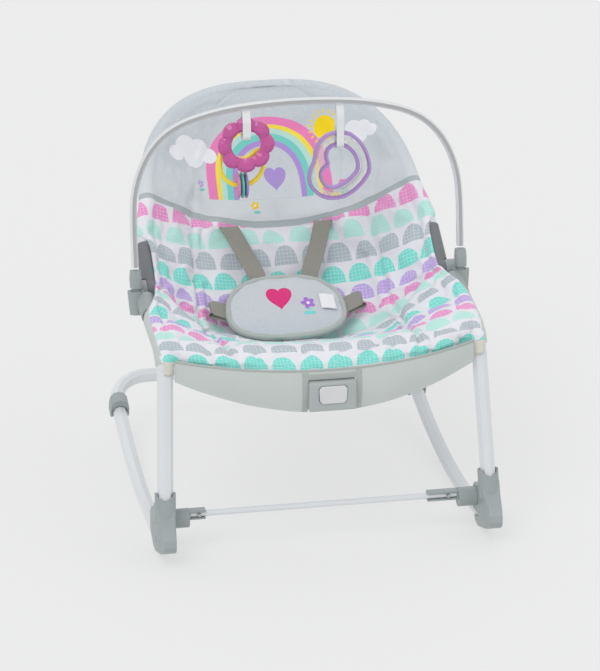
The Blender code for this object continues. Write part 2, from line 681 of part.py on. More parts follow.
# ---- soothing unit ------------------------------------------------------
def soothing_unit():
    """Battery box with a vibrating motor and a push button on its face."""
    front, rear = UNIT_Y
    low, high = UNIT_Z
    half = UNIT_HALF_WIDTH
    split = front + 0.013
    cover = block("unit_front_cover", (-half, front, low), (half, split, high),
                  GREY_PLASTIC, bevel=0.003)
    hollow = block("unit_front_hollow", (-half + 0.0025, front + 0.0025, low + 0.0025),
                   (half - 0.0025, split + 0.01, high - 0.0025), None, CUTTERS)
    combine(cover, hollow, "DIFFERENCE")
    mid_z = low + 0.0245
    outline = [(-0.0150, -0.0125), (0.0150, -0.0125), (0.0185, -0.0085), (0.0195, 0.0085),
               (0.0160, 0.0125), (-0.0160, 0.0125), (-0.0195, 0.0085), (-0.0185, -0.0085)]
    face = axes((0, 0, mid_z), (1, 0, 0), (0, 0, 1))
    wide = [(u * 1.04, v * 1.05) for u, v in outline]
    window = prism("unit_button_window", wide, face, -0.02, 0.004, None, CUTTERS)
    combine(cover, window, "DIFFERENCE")
    prism("power_button", outline, face, -(front + 0.0045), -(front - 0.0022),
          WHITE_PLASTIC, bevel=0.0010)

    back = block("unit_back_box", (-half, split + GAP, low), (half, rear, high),
                 GREY_PLASTIC, bevel=0.002)
    inside = block("unit_back_hollow", (-half + 0.0025, split - 0.01, low + 0.0025),
                   (half - 0.0025, rear - 0.0025, high - 0.0025), None, CUTTERS)
    opening = block("unit_door_opening", (-0.0275, rear - 0.01, low + 0.0035),
                    (0.0275, rear + 0.01, low + 0.0315), None, CUTTERS)
    combine(back, inside, "DIFFERENCE")
    combine(back, opening, "DIFFERENCE")
    door = block("battery_door", (-0.0270, -0.0022, 0.0), (0.0270, 0.0, 0.0270), GREY_PLASTIC,
                 bevel=0.0006)
    door.data.transform(Matrix.Translation(door.location))
    door.location = (0, rear, low + 0.0040)

    rod("battery_cell", (-0.0245, 0.0308, low + 0.0160), (0.0225, 0.0308, low + 0.0160),
        0.0128, CELL_WRAP)
    rod("vibration_motor", (-0.018, 0.0308, low + 0.0347), (0.004, 0.0308, low + 0.0347),
        0.0050, STEEL)
    weight_outline = [(0.0046 * math.cos(a), 0.0046 * math.sin(a)) for a in
                      [math.pi * (k / 10 - 1) for k in range(11)]]
    weight = prism("motor_weight", weight_outline, side_plane(), 0.0, 0.006, STEEL)
    weight.location = (0.0065, 0.0308, low + 0.0347)
    block("circuit_board", (-0.0200, front + 0.0060, low + 0.0100),
          (0.0200, front + 0.0072, low + 0.0390), GREEN_BOARD)


# ---- toy bar and toys ---------------------------------------------------
def toy_bar():
    """Arched bar with a moulded plug at each end."""
    half = [bar_point(-x, z) for x, z in BAR_SHAPE]
    points = half + [Vector((-p.x, p.y, p.z)) for p in reversed(half[:-1])]
    path = smooth_curve(points, 3)
    rings = []
    for k, place in enumerate(path):
        along = (path[min(k + 1, len(path) - 1)] - path[max(k - 1, 0)]).normalized()
        deep = Vector((0, 1, -BAR_LEAN)).normalized()
        out = along.cross(deep).normalized()
        rings.append([place + deep * (0.0058 * a) + out * (0.0046 * b) for a, b in
                      ((-1.0, -0.5), (-0.5, -1.0), (0.5, -1.0), (1.0, -0.5), (1.0, 0.5),
                       (0.5, 1.0), (-0.5, 1.0), (-1.0, 0.5))])
    loft("toy_bar", rings, BAR_PAINT)
    for side in (-1, 1):
        bar_plug(side)


def bar_plug(side):
    """End plug of the toy bar: a tongue in the socket, a sleeve round the bar."""
    top = Vector((side * BAR_X, *BAR_FOOT))
    frame = axes(top, (1, 0, 0), (0, 1, -BAR_LEAN))
    rings = []
    for level, wide, deep in ((-0.0205, 0.0052, 0.0060), (0.0015, 0.0057, 0.0068),
                              (0.0015, 0.0078, 0.0092), (0.0150, 0.0082, 0.0098),
                              (0.0255, 0.0072, 0.0088)):
        ring = []
        for k in range(16):
            turn = 2 * math.pi * (k + 0.5) / 16
            c, s = math.cos(turn), math.sin(turn)
            u = wide * math.copysign(abs(c) ** 0.6, c)
            v = deep * math.copysign(abs(s) ** 0.6, s)
            ring.append(frame @ Vector((u, v, 0)) + BAR_UP * level)
        rings.append(ring)
    body = loft(f"{label(side)}_bar_plug", rings, GREY_PLASTIC)
    slot = block(f"{label(side)}_bar_plug_slot", (-0.0051, -0.0063, 0.0),
                 (0.0051, 0.0063, 0.05), None, CUTTERS)
    foot_level = Vector((side * BAR_X, *bar_point(0, BAR_SHAPE[0][1]).yz))
    slot.data.transform(Matrix.Translation((0, 0, 0.025)))
    slot.location = foot_level - BAR_UP * 0.0004
    slot.rotation_euler = (-math.atan(BAR_LEAN), 0, 0)
    combine(body, slot, "DIFFERENCE")


def ring_solid(name, centre_line, section, look, sides=8):
    """A closed ring round a flat centre line (x, z); section(k) gives its half sizes."""
    count = len(centre_line)
    rings = []
    for k in range(count):
        before = Vector(centre_line[k - 1])
        after = Vector(centre_line[(k + 1) % count])
        along = (after - before).normalized()
        out = Vector((along.y, -along.x))
        here = Vector(centre_line[k])
        half_wide, half_deep = section(k)
        ring = []
        for i in range(sides):
            turn = 2 * math.pi * (i + 0.5) / sides
            flat = here + out * (half_wide * math.cos(turn) * 1.06)
            ring.append((flat.x, half_deep * math.sin(turn) * 1.06, flat.y))
        rings.append(ring)
    return loft(name, rings, look, closed=True)


def circle_line(radius, count, middle=(0.0, 0.0)):
    """Points (x, z) of a circle."""
    return [(middle[0] + radius * math.cos(2 * math.pi * k / count),
             middle[1] + radius * math.sin(2 * math.pi * k / count)) for k in range(count)]


def closed_curve(points, steps):
    """A closed Catmull-Rom curve through flat points."""
    count = len(points)
    line = []
    for k in range(count):
        a, b, c, d = (Vector(points[(k + i - 1) % count]) for i in range(4))
        for i in range(steps):
            t = i / steps
            line.append(0.5 * (2 * b + (c - a) * t + (2 * a - 5 * b + 4 * c - d) * t * t
                               + (3 * b - a - 3 * c + d) * t ** 3))
    return line


def place(obj, pivot):
    """Puts the origin of an object drawn round its own pivot."""
    obj.location = pivot
    return obj


PETALS = 8


def flower_section(k):
    """Half width and depth of the flower's band, puffed out at each petal."""
    puff = abs(math.cos(PETALS * math.pi * k / 48))
    return 0.0072 + 0.0030 * puff, 0.0040 + 0.0028 * puff


def flower_toy():
    """Flower teether on a strap, a link behind it and three discs on the link."""
    pivot = bar_point(FLOWER_X, 0.564)
    petals = []
    for k in range(48):
        turn = 2 * math.pi * k / 48
        reach = 0.0275 + 0.0028 * abs(math.cos(PETALS * turn / 2))
        petals.append((reach * math.cos(turn), -0.0545 + reach * math.sin(turn)))
    place(ring_solid("flower_teether", petals, flower_section, MAGENTA), pivot)
    place(strap_loop("flower_strap", 0.0115, 0.0075, -0.0390), pivot)
    lower = [(0.0305 * math.cos(a), 0.0305 * math.sin(a)) for a in
             [math.pi * (1 + k / 10) for k in range(11)]]
    upper = [(0.0300, 0.0110), (0.0265, 0.0200), (0.0195, 0.0185), (0.0100, 0.0110),
             (0.0, 0.0085), (-0.0100, 0.0110), (-0.0195, 0.0185), (-0.0265, 0.0200),
             (-0.0300, 0.0110)]
    link = ring_solid("link_ring", closed_curve(lower + upper, 2),
                      lambda k: (0.0031, 0.0031), YELLOW)
    link.location = pivot + Vector((-0.0040, 0.0108, -0.0870))
    bottom = link.location + Vector((0, 0, -0.0305))
    for k, (name, look) in enumerate((("pink_disc", PINK), ("teal_disc", TEAL),
                                      ("purple_disc", PURPLE))):
        disc = ring_solid(name, circle_line(0.0115, 20), lambda k: (0.0069, 0.0023), look)
        disc.rotation_euler = (0, 0, math.pi / 2)
        disc.location = (bottom.x + (k - 1) * 0.0055, bottom.y, bottom.z + 0.0004)


def strap_loop(name, width, top, bottom):
    """A closed webbing loop over the bar and round the toy."""
    outer, inner = 0.0092, 0.0076
    outline, hole = [], []
    for k in range(9):
        turn = math.pi * k / 8
        outline.append((outer * math.cos(turn), top - outer + 0.0060 + outer * math.sin(turn)))
        hole.append((inner * math.cos(turn), top - outer + 0.0060 + inner * math.sin(turn)))
    for k in range(9):
        turn = math.pi + math.pi * k / 8
        outline.append((outer * math.cos(turn), bottom + outer * math.sin(turn)))
        hole.append((inner * math.cos(turn), bottom + inner * math.sin(turn)))
    rings = []
    for (a, b), (c, d) in zip(outline, hole):
        rings.append([(-width / 2, a, b), (width / 2, a, b), (width / 2, c, d),
                      (-width / 2, c, d)])
    return loft(name, rings, WHITE_WEBBING, closed=True)


HEART_OUTER = ((-1.9, 49.1), (13.6, 46.3), (27.2, 35), (36.9, 19.8), (41.7, 4.7), (42.7, -9.4),
               (36.9, -20.8), (24.2, -35), (8.7, -44.4), (-6.8, -47.2), (-23.3, -43.5),
               (-36.9, -32.1), (-42.7, -18.9), (-41.7, -4.7), (-36.9, 4.7), (-34.9, 13.2),
               (-33.9, 23.6), (-28.1, 36.9), (-16.5, 46.3))
HEART_INNER = ((-1.9, 32.1), (9.7, 28.3), (19.4, 18.9), (25.2, 6.6), (26.2, -5.7), (19.4, -16.1),
               (7.8, -25.5), (-6.8, -31.2), (-18.4, -28.3), (-25.2, -18.9), (-26.2, -8.5),
               (-21.3, -0.9), (-15.5, 3.8), (-18.4, 11.3), (-18.4, 19.8), (-13.6, 28.3))
HEART_EYE = Vector((0.003, -0.003))
HEART_COUNT = 36
RIM_HALF = 0.0027


def heart_line(table, offset=0.0):
    """A rim of the heart (mm table), read every few degrees round its eye."""
    dense = closed_curve([(x / 1000, z / 1000) for x, z in table], 12)
    polar = sorted((math.atan2(p.y - HEART_EYE.y, p.x - HEART_EYE.x), (p - HEART_EYE).length)
                   for p in dense)
    line = []
    for k in range(HEART_COUNT):
        turn = -math.pi + 2 * math.pi * (k + 0.5) / HEART_COUNT
        nearest = min(polar, key=lambda item: abs(item[0] - turn))
        reach = nearest[1] + offset
        line.append((HEART_EYE.x + reach * math.cos(turn),
                     HEART_EYE.y + reach * math.sin(turn)))
    return line


def heart_channel():
    """Clear trough between the rims, open towards the outer rim."""
    inner_line = heart_line(HEART_INNER, RIM_HALF * 2.1)
    outer_line = heart_line(HEART_OUTER, -RIM_HALF * 1.62)
    rings = []
    for near, far in zip(inner_line, outer_line):
        near, far = Vector(near), Vector(far)
        out = (far - near).normalized()
        wall = near + out * 0.0012
        rings.append([(p.x, y, p.y) for p, y in
                      ((near, -0.0046), (far, -0.0046), (far, -0.0036), (wall, -0.0036),
                       (wall, 0.0036), (far, 0.0036), (far, 0.0046), (near, 0.0046))])
    return loft("heart_channel", rings, CLEAR, closed=True)


BEAD_TURNS = (-123.5, -114.5, -105.5, -96.0, -86.0, -76.0)


def heart_toy():
    """Bead rattle: outer and inner rims, clear channel, six beads, hung on a strap."""
    pivot = bar_point(HEART_X, 0.566)
    shift = pivot + Vector((0.0, 0.0, -0.0960))
    for name, table in (("heart_outer_rim", HEART_OUTER), ("heart_inner_rim", HEART_INNER)):
        place(ring_solid(name, heart_line(table), lambda k: (RIM_HALF, 0.0050), PURPLE), shift)
    place(heart_channel(), shift)
    looks = (PINK, PINK, YELLOW, YELLOW, MINT, MINT)
    track = heart_line(HEART_OUTER, -(RIM_HALF * 1.06 + 0.0031))
    for k, degrees in enumerate(BEAD_TURNS):
        spot = (math.radians(degrees) + math.pi) / (2 * math.pi) * HEART_COUNT - 0.5
        first = int(spot)
        here = Vector(track[first]).lerp(Vector(track[first + 1]), spot - first)
        bpy.ops.mesh.primitive_uv_sphere_add(segments=12, ring_count=8, radius=0.0028)
        bead = adopt(bpy.context.object, f"bead_{k + 1}", looks[k])
        bead.location = shift + Vector((here.x, 0, here.y))
        shade_round(bead)
    place(strap_loop("heart_strap", 0.0105, 0.0075, -0.0615), pivot)


def turn_on(pivot_name, pivot, names):
    """Parents pieces that move together to an empty on their joint's axis."""
    pivot = Vector(pivot)
    empty = bpy.data.objects.new(pivot_name, None)
    empty.empty_display_size = 0.02
    empty.location = pivot
    PARTS.objects.link(empty)
    for name in names:
        piece = bpy.data.objects[name]
        piece.parent = empty
        piece.matrix_parent_inverse = Matrix.Translation(-pivot)


for hand in (-1, 1):
    side_tube(hand)
    foot(hand)
    cross_bracket(hand)
    kickstand(hand)
    hub(hand)
    recline_arm(hand)
base_tube()
cross_tube()
backrest_tube()
seat_sling()
back_panel()
front_skirt()
harness()
soothing_unit()
toy_bar()
flower_toy()
heart_toy()
turn_on("recline_axis", (0, *HUB_AXIS),
        ("backrest_tube", "back_panel", "left_recline_arm", "right_recline_arm",
         "left_shoulder_strap", "right_shoulder_strap"))
turn_on("flower_swing_axis", bar_point(FLOWER_X, 0.564),
        ("flower_strap", "flower_teether", "link_ring"))
turn_on("heart_swing_axis", bar_point(HEART_X, 0.566),
        ("heart_strap", "heart_outer_rim", "heart_inner_rim", "heart_channel",
         *(f"bead_{k + 1}" for k in range(len(BEAD_TURNS)))))
for piece in (*PARTS.objects, *CUTTERS.objects):
    if piece.parent is None:
        piece.location.y -= ORIGIN_Y
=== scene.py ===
import math

import bmesh
import bpy
import numpy as np
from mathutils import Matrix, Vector


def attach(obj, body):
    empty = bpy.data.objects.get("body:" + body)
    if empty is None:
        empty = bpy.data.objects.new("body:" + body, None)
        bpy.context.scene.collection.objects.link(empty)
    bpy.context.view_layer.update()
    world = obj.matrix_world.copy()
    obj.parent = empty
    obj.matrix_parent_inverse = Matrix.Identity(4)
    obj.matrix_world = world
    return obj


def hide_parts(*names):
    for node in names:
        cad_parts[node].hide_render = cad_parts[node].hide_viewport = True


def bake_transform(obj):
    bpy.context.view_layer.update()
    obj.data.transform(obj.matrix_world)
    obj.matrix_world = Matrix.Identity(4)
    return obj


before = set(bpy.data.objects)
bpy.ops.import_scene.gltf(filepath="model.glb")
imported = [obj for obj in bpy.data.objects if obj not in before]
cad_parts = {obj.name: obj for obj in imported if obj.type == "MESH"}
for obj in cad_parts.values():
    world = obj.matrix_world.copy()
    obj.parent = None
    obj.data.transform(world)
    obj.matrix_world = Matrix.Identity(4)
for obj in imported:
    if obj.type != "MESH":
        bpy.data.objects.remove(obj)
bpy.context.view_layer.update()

# Lengths are in metres. The tables below measure y from the front feet; at() moves it to the origin.
ORIGIN_Y = 0.2765
LEG_PATH = ((0.0395, 0.052), (0.0845, 0.285), (0.224, 0.3045))   # (y, z), bent corner in the middle
LEG_TOP_X = 0.2180
LEG_BEND_RADIUS = 0.045
HUB_Y, HUB_Z = 0.270, 0.309
BACK_ANGLE = math.radians(39)
BACK_X = 0.205             # half width of the backrest tube
BACK_LENGTH = 0.3215       # from the hub axis to the top of the backrest tube
HEAD_START = 0.060         # distance up the back where the rounded outline of the head starts
HEAD_POWER = 2.8           # how square that outline is
HEAD_WAIST = 0.054         # share of the width that is drawn in above the recline arms
BAR_LEAN = 0.15            # how far the toy bar leans back for each metre of height
PRINT_PITCH = 0.032        # height of one printed row
PRINT_ZERO = 0.156         # distance up the back where the rows are counted from
SEAM_LOW = 0.1245          # distance up the back of the seam under the head panel, at the middle
SEAM_RISE = 0.0195         # and how much further up it is at the sides
SEAM_POWER = 1.1           # how that rise is shared out
SIDE_START = 0.03          # half width of the middle, where seams and rows run level
SIDE_WIDTH = 0.150         # width over which they rise or fall beside it

scene = bpy.context.scene
pieces = bpy.data.collections.new("looks")
scene.collection.children.link(pieces)


def at(x, y, z):
    """A point of the tables in the object's own frame."""
    return Vector((x, y - ORIGIN_Y, z))


def back_point(x, s, lift=0.0):
    """A point of the backrest plane, s along it from the hub axis and lift off it."""
    return at(x, HUB_Y + s * math.cos(BACK_ANGLE) - lift * math.sin(BACK_ANGLE),
              HUB_Z + s * math.sin(BACK_ANGLE) + lift * math.cos(BACK_ANGLE))


BACK_ALONG = Vector((0, math.cos(BACK_ANGLE), math.sin(BACK_ANGLE)))
BACK_NORMAL = Vector((0, -math.sin(BACK_ANGLE), math.cos(BACK_ANGLE)))


# ---- camera, light and floor --------------------------------------------
SUNS = (("key", (-1.5, -1.9, 2.9), 0.95, 38), ("fill", (2.2, -1.2, 2.2), 0.30, 60),
        ("back", (0.3, 2.0, 2.4), 0.35, 60))       # name, direction, strength, spread in degrees
FLOOR_HALF = 24.0


def make_camera():
    """A long lens from the front left, a little above."""
    camera = bpy.data.objects.new("camera", bpy.data.cameras.new("camera"))
    camera.location = (-1.265, -6.4351, 2.742)
    camera.rotation_euler = [math.radians(angle) for angle in (69.0, 0.0, -11.18)]
    camera.data.lens = 300.0
    camera.data.sensor_width = 36.0
    camera.data.sensor_fit = "HORIZONTAL"
    camera.data.clip_end = 60.0
    scene.collection.objects.link(camera)
    scene.camera = camera


def make_lights():
    """Soft suns in an even, slightly cool room."""
    for name, place, power, spread in SUNS:
        data = bpy.data.lights.new(name, "SUN")
        data.energy = power
        data.angle = math.radians(spread)
        lamp = bpy.data.objects.new(name, data)
        lamp.location = place
        lamp.rotation_euler = (-Vector(place)).to_track_quat("-Z", "Y").to_euler()
        scene.collection.objects.link(lamp)
    world = bpy.data.worlds.new("studio")
    world.use_nodes = True
    background = world.node_tree.nodes["Background"]
    background.inputs["Color"].default_value = (0.97, 0.98, 1.0, 1)
    background.inputs["Strength"].default_value = 0.66
    scene.world = world
    scene.view_settings.view_transform = "Standard"


def make_floor():
    """A pale floor that glows a little, so that only a soft contact shadow shows."""
    corners = [(x * FLOOR_HALF, y * FLOOR_HALF, 0) for x, y in ((-1, -1), (1, -1), (1, 1), (-1, 1))]
    data = bpy.data.meshes.new("floor")
    data.from_pydata(corners, [], [(0, 1, 2, 3)])
    floor = bpy.data.objects.new("floor", data)
    scene.collection.objects.link(floor)
    paper = Graph("paper")
    paper.feed(paper.shader, [("Base Color", (0.26, 0.26, 0.26)), ("Emission Color", (1.0, 1.0, 1.0)),
                              ("Emission Strength", 0.565), ("Roughness", 0.9),
                              ("Specular IOR Level", 0.1)])
    data.materials.append(paper.material)


# ---- shader maths -------------------------------------------------------
def operation(name, swapped=False):
    """A method of Value that adds one maths node."""
    def method(self, *others):
        terms = (*others, self) if swapped else (self, *others)
        return self.graph.maths(name, *terms)
    return method


class Value:
    """A shader socket or number that can be used in Python sums."""

    def __init__(self, graph, source):
        self.graph, self.source = graph, source

    __add__ = __radd__ = operation("ADD")
    __mul__ = __rmul__ = operation("MULTIPLY")
    __sub__, __rsub__ = operation("SUBTRACT"), operation("SUBTRACT", swapped=True)
    __truediv__, __pow__ = operation("DIVIDE"), operation("POWER")
    least, most = operation("MINIMUM"), operation("MAXIMUM")
    size, root, sine = operation("ABSOLUTE"), operation("SQRT"), operation("SINE")
    floor, fraction = operation("FLOOR"), operation("FRACT")

    def below(self, edge, soft):
        """1 below the edge, 0 above it, turning over a width of soft."""
        return self.graph.clamp(0.5 - (self - edge) / soft)


class Graph:
    """A material's nodes."""

    def __init__(self, name):
        self.material = bpy.data.materials.new(name)
        self.material.use_nodes = True
        self.tree = self.material.node_tree
        self.shader = self.tree.nodes["Principled BSDF"]

    def feed(self, node, inputs):
        """Sets or links sockets, given as pairs of a socket's name or number and its value."""
        for key, value in inputs:
            socket = node.inputs[key]
            source = value.source if isinstance(value, Value) else value
            if isinstance(source, bpy.types.NodeSocket):
                self.tree.links.new(source, socket)
            elif isinstance(source, tuple) and len(source) == 3 and socket.type == "RGBA":
                socket.default_value = (*source, 1.0)
            else:
                socket.default_value = source

    def node(self, kind, inputs=(), output=0, **settings):
        """The Value of one output of a new node."""
        node = self.tree.nodes.new(kind)
        for key, value in settings.items():
            setattr(node, key, value)
        self.feed(node, inputs)
        return Value(self, node.outputs[output])

    def maths(self, operation, *terms):
        return self.node("ShaderNodeMath", enumerate(terms), operation=operation)

    def clamp(self, value):
        return self.node("ShaderNodeClamp", [("Value", value)])

    def mix(self, share, low, high):
        """A colour between two others."""
        return self.node("ShaderNodeMix", [(0, share), (6, low), (7, high)], 2, data_type="RGBA")

    def point(self, x, y):
        return self.node("ShaderNodeCombineXYZ", [("X", x), ("Y", y)])

    def split(self, vector):
        """The x, y and z of a vector."""
        first = self.node("ShaderNodeSeparateXYZ", [(0, vector)])
        return [Value(self, socket) for socket in first.source.node.outputs]

    def cloth_place(self):
        """Position on the flat cloth, in metres."""
        return self.split(self.node("ShaderNodeUVMap", uv_map="cloth"))[:2]

    def solid_place(self, stretch=(1, 1, 1)):
        """Position in the object, stretched."""
        place = self.node("ShaderNodeTexCoord", output="Object")
        return self.node("ShaderNodeMapping", [("Vector", place), ("Scale", stretch)])

    def noise(self, place, scale, detail=2.0):
        inputs = [("Vector", place), ("Scale", scale), ("Detail", detail)]
        return self.node("ShaderNodeTexNoise", inputs, "Fac")

    def chance(self, x, y):
        """A random number for each pair of whole numbers."""
        place = [("Vector", self.point(x, y))]
        return self.node("ShaderNodeTexWhiteNoise", place, "Value", noise_dimensions="2D")

    def bump(self, height, strength, distance):
        inputs = [("Height", height), ("Strength", strength), ("Distance", distance)]
        self.feed(self.shader, [("Normal", self.node("ShaderNodeBump", inputs))])

    def coat(self, weight, roughness):
        self.feed(self.shader, [("Coat Weight", weight), ("Coat Roughness", roughness)])

    def finish(self, colour, roughness, sheen=0.0, specular=0.3):
        self.feed(self.shader, [("Base Color", colour), ("Roughness", roughness),
                                ("Sheen Weight", sheen), ("Sheen Roughness", 0.5),
                                ("Specular IOR Level", specular)])
        return self.material


def tone(red, green, blue):
    """Screen colour (0 to 255) as the shader's linear colour."""
    return tuple((c / 255 / 12.92) if c < 10.3 else ((c / 255 + 0.055) / 1.055) ** 2.4
                 for c in (red, green, blue))


# ---- materials ----------------------------------------------------------
WEAVE_PITCH = 0.0009       # distance between crossings of the yarns
RIB_PITCH = 0.0028         # distance between the ribs across a strap
SLANT_PITCH = 0.0016       # distance between the slanting lines on it
SELVEDGE = 0.0098          # distance from a strap's middle to its thick edge
EDGE_BLUR = 0.0006         # width over which a printed edge fades


def shaded(colour, factor):
    """A colour made darker or lighter."""
    return tuple(min(1.0, c * factor) for c in colour)


def square(value):
    return value * value


def weave_height(u, v):
    """Over-and-under height of a plain weave."""
    turn = 2 * math.pi / WEAVE_PITCH
    return (u * turn).sine() * (v * turn).sine()


def slub(g, u, v):
    """Uneven yarns, as fine streaks both ways, near 0."""
    across = g.noise(g.point(u * 110.0, v * 1500.0), 1.0, 3.0)
    along = g.noise(g.point(u * 1500.0, v * 110.0), 1.0, 3.0)
    return across + along - 1.0


def cloth_material(name, colour, streak=0.20):
    """Plain woven cloth with uneven yarns and slow changes of shade."""
    g = Graph(name)
    u, v = g.cloth_place()
    yarn = slub(g, u, v)
    broad = g.noise(g.point(u, v), 14.0)
    shade = g.clamp(0.5 + yarn * streak * 3.0 + (broad - 0.5) * 0.35)
    g.bump(weave_height(u, v) * 0.5 + yarn, 0.35, 0.0004)
    return g.finish(g.mix(shade, shaded(colour, 0.86), shaded(colour, 1.10)), 0.88, 0.25)


def webbing_material(name, colour, contrast=1.0):
    """Woven strap with ribs across it and fine slanting lines, with painted light on their crests and
    painted shade in their grooves, and darker towards the selvedges.
    """
    g = Graph(name)
    u, v = g.cloth_place()
    rib = (v * (2 * math.pi / RIB_PITCH)).sine()
    slant = ((u + v) * (2 * math.pi / SLANT_PITCH)).sine()
    edge = (u.size() - SELVEDGE).most(0.0) * 160.0
    # Painted light and shade: the colour follows the rib and slant heights of the bump, and darkens
    # towards the selvedges.
    shade = g.clamp(0.55 + (rib * 0.22 + slant * 0.12 - edge * 0.25) * contrast)
    g.bump(rib + slant * 0.5, 0.6 * contrast, 0.0005)
    return g.finish(g.mix(shade, shaded(colour, 0.70), shaded(colour, 1.18)), 0.75, 0.2)


def plastic_material(name, colour, roughness=0.35, grain=0.15, specular=0.5, coat=0.0):
    """Moulded plastic: faint colour drift, fine grain and small scuffs."""
    g = Graph(name)
    drift = g.noise(g.solid_place(), 30.0)
    fine = g.noise(g.solid_place(), 2600.0, 3.0)
    scuff = g.clamp((g.noise(g.solid_place((1, 1, 4)), 160.0, 6.0) - 0.62) * 5.0)
    g.bump(fine, grain, 0.0003)
    g.coat(coat, 0.08)
    return g.finish(g.mix(drift, shaded(colour, 0.93), shaded(colour, 1.05)),
                    roughness + scuff * 0.10, 0.0, specular)


def paint_material(name, colour):
    """Powder coat: slight orange peel and a soft gloss."""
    g = Graph(name)
    peel = g.noise(g.solid_place(), 420.0, 2.0)
    drift = g.noise(g.solid_place(), 9.0)
    g.bump(peel, 0.012, 0.0001)
    g.coat(0.25, 0.15)
    return g.finish(g.mix(drift, shaded(colour, 0.96), colour), 0.28 + (peel - 0.5) * 0.03, 0.0, 0.5)


def metal_material(name, colour):
    """Bright metal with fine drawn lines."""
    g = Graph(name)
    grain = g.noise(g.solid_place((1, 1, 30)), 300.0, 3.0)
    g.feed(g.shader, [("Metallic", 1.0)])
    g.bump(grain, 0.12, 0.0002)
    return g.finish(g.mix(grain, shaded(colour, 0.85), colour), 0.3 + grain * 0.15)


def clear_material(name):
    """Thin pale see-through plastic with a faint swirl."""
    g = Graph(name)
    swirl = g.noise(g.solid_place(), 90.0)
    g.feed(g.shader, [("Alpha", 0.22)])
    g.bump(swirl, 0.15, 0.0006)
    return g.finish(g.mix(swirl, tone(222, 224, 218), tone(246, 242, 234)), 0.14, 0.0, 0.6)


# ---- printed shapes, in metres on the flat cloth ------------------------
def round_mask(x, y, cx, cy, radius, squash=1.0):
    """1 inside an ellipse."""
    reach = (square(x - cx) + square((y - cy) * (1 / squash))).root()
    return reach.below(radius, EDGE_BLUR)


def cloud_mask(x, y, cx, cy, size):
    """A flat-bottomed cloud of five overlapping rounds."""
    mask = None
    for dx, dy, r in ((-0.66, -0.14, 0.30), (-0.24, 0.14, 0.40), (0.26, 0.08, 0.38),
                      (0.66, -0.12, 0.30), (0.05, -0.20, 0.40)):
        part = round_mask(x, y, cx + dx * size, cy + dy * size, r * size, 0.92)
        mask = part if mask is None else mask.most(part)
    return mask


def polar(g, x, y, cx, cy):
    """Direction and distance from a centre."""
    dx, dy = x - cx, y - cy
    return g.maths("ARCTAN2", dy, dx), (square(dx) + square(dy)).root()


def blossom_mask(g, x, y, cx, cy, size):
    """Five petals round a centre."""
    turn, reach = polar(g, x, y, cx, cy)
    edge = (turn * 2.5).sine().size() * (size * 0.42) + size * 0.58
    return (reach - edge).below(0.0, EDGE_BLUR)


SUN_RADIUS, RAY_START, RAY_END, SUN_RAYS = 0.0165, 0.0195, 0.0245, 18


def sun_mask(g, x, y, cx, cy):
    """A disc inside a ring of short rays."""
    turn, reach = polar(g, x, y, cx, cy)
    ray = ((turn * (SUN_RAYS / (2 * math.pi))).fraction() - 0.5).size().below(0.13, 0.05)
    rays = ray * reach.below(RAY_END, EDGE_BLUR) * (RAY_START - reach).below(0.0, EDGE_BLUR)
    return reach.below(SUN_RADIUS, EDGE_BLUR).most(rays)


def heart_mask(x, y, cx, cy, size):
    """A plain heart."""
    dx = ((x - cx) / size).size()
    dy = (y - cy) / size
    lobe = dy - (dx.root() * 0.62)
    return (square(dx) + square(lobe) * 1.15).below(0.62, 0.03)


def towards_side(g, u, power):
    """0 in the middle of the cover, 1 near its sides."""
    return g.clamp((u.size() - SIDE_START) / SIDE_WIDTH) ** power


DOME_PITCH = 0.0385        # width of the cell that holds one printed half round
DOME_FOOT = 0.06           # height of its straight foot, as a share of the row
HATCH_PITCH = 0.0052       # distance between the hatch lines inside it
ROW_COLOURS = (tone(194, 168, 230), tone(242, 144, 205), tone(182, 236, 224),
               tone(180, 192, 198), tone(114, 228, 213))


def row_ink(g, row):
    """The ink of a printed row; the five colours take turns."""
    share = (row / len(ROW_COLOURS) + 0.02).fraction()
    ink = g.node("ShaderNodeValToRGB", [(0, share)])
    ramp = ink.source.node.color_ramp
    ramp.interpolation = "CONSTANT"
    while len(ramp.elements) < len(ROW_COLOURS):
        ramp.elements.new(0.5)
    for k, colour in enumerate(ROW_COLOURS):
        ramp.elements[k].position = k / len(ROW_COLOURS)
        ramp.elements[k].color = (*colour, 1)
    return ink


def print_domes(g, u, v, ground):
    """Rows of hatched half rounds on a pale ground; each dome has its own width, place and height."""
    droop = towards_side(g, u, 1.2) * g.clamp((v + 0.03) / 0.05) * 0.010
    count = (PRINT_ZERO - v - droop) / PRINT_PITCH
    row = g.maths("CEIL", count)
    height = row - count
    cells = u / DOME_PITCH + g.chance(row, 3.0) + 40.0
    cell = cells.floor()
    wide = g.chance(cell, row) * 0.06 + 0.405
    middle = (g.chance(cell, row + 31.0) - 0.5) * 0.04
    tall = g.chance(cell, row + 67.0) * 0.14 + 0.74
    out = ((cells.fraction() - 0.5 - middle) / wide).size()
    shape = out ** 2.4 + ((height - DOME_FOOT).most(0.0) / tall) ** 2.1
    dome = shape.below(1.0, 0.05) * (DOME_FOOT - height).below(0.0, 0.02)
    wobble = (g.noise(g.point(u, v), 60.0) - 0.5) * 0.35
    hatch_u, hatch_v = (((place / HATCH_PITCH + wobble).fraction() - 0.5).size() for place in (u, v))
    lines = (0.5 - hatch_u).least(0.5 - hatch_v).below(0.058, 0.055)
    fade = g.noise(g.point(u, v), 300.0, 3.0) * 0.45 + 0.42
    inked = g.mix(lines * fade, row_ink(g, row), ground)
    patchy = g.noise(g.point(u * 90.0, v * 500.0), 1.0, 3.0)
    inked = g.mix(g.clamp((patchy - 0.5) * 0.9), inked, ground)
    return g.mix(dome, ground, inked)


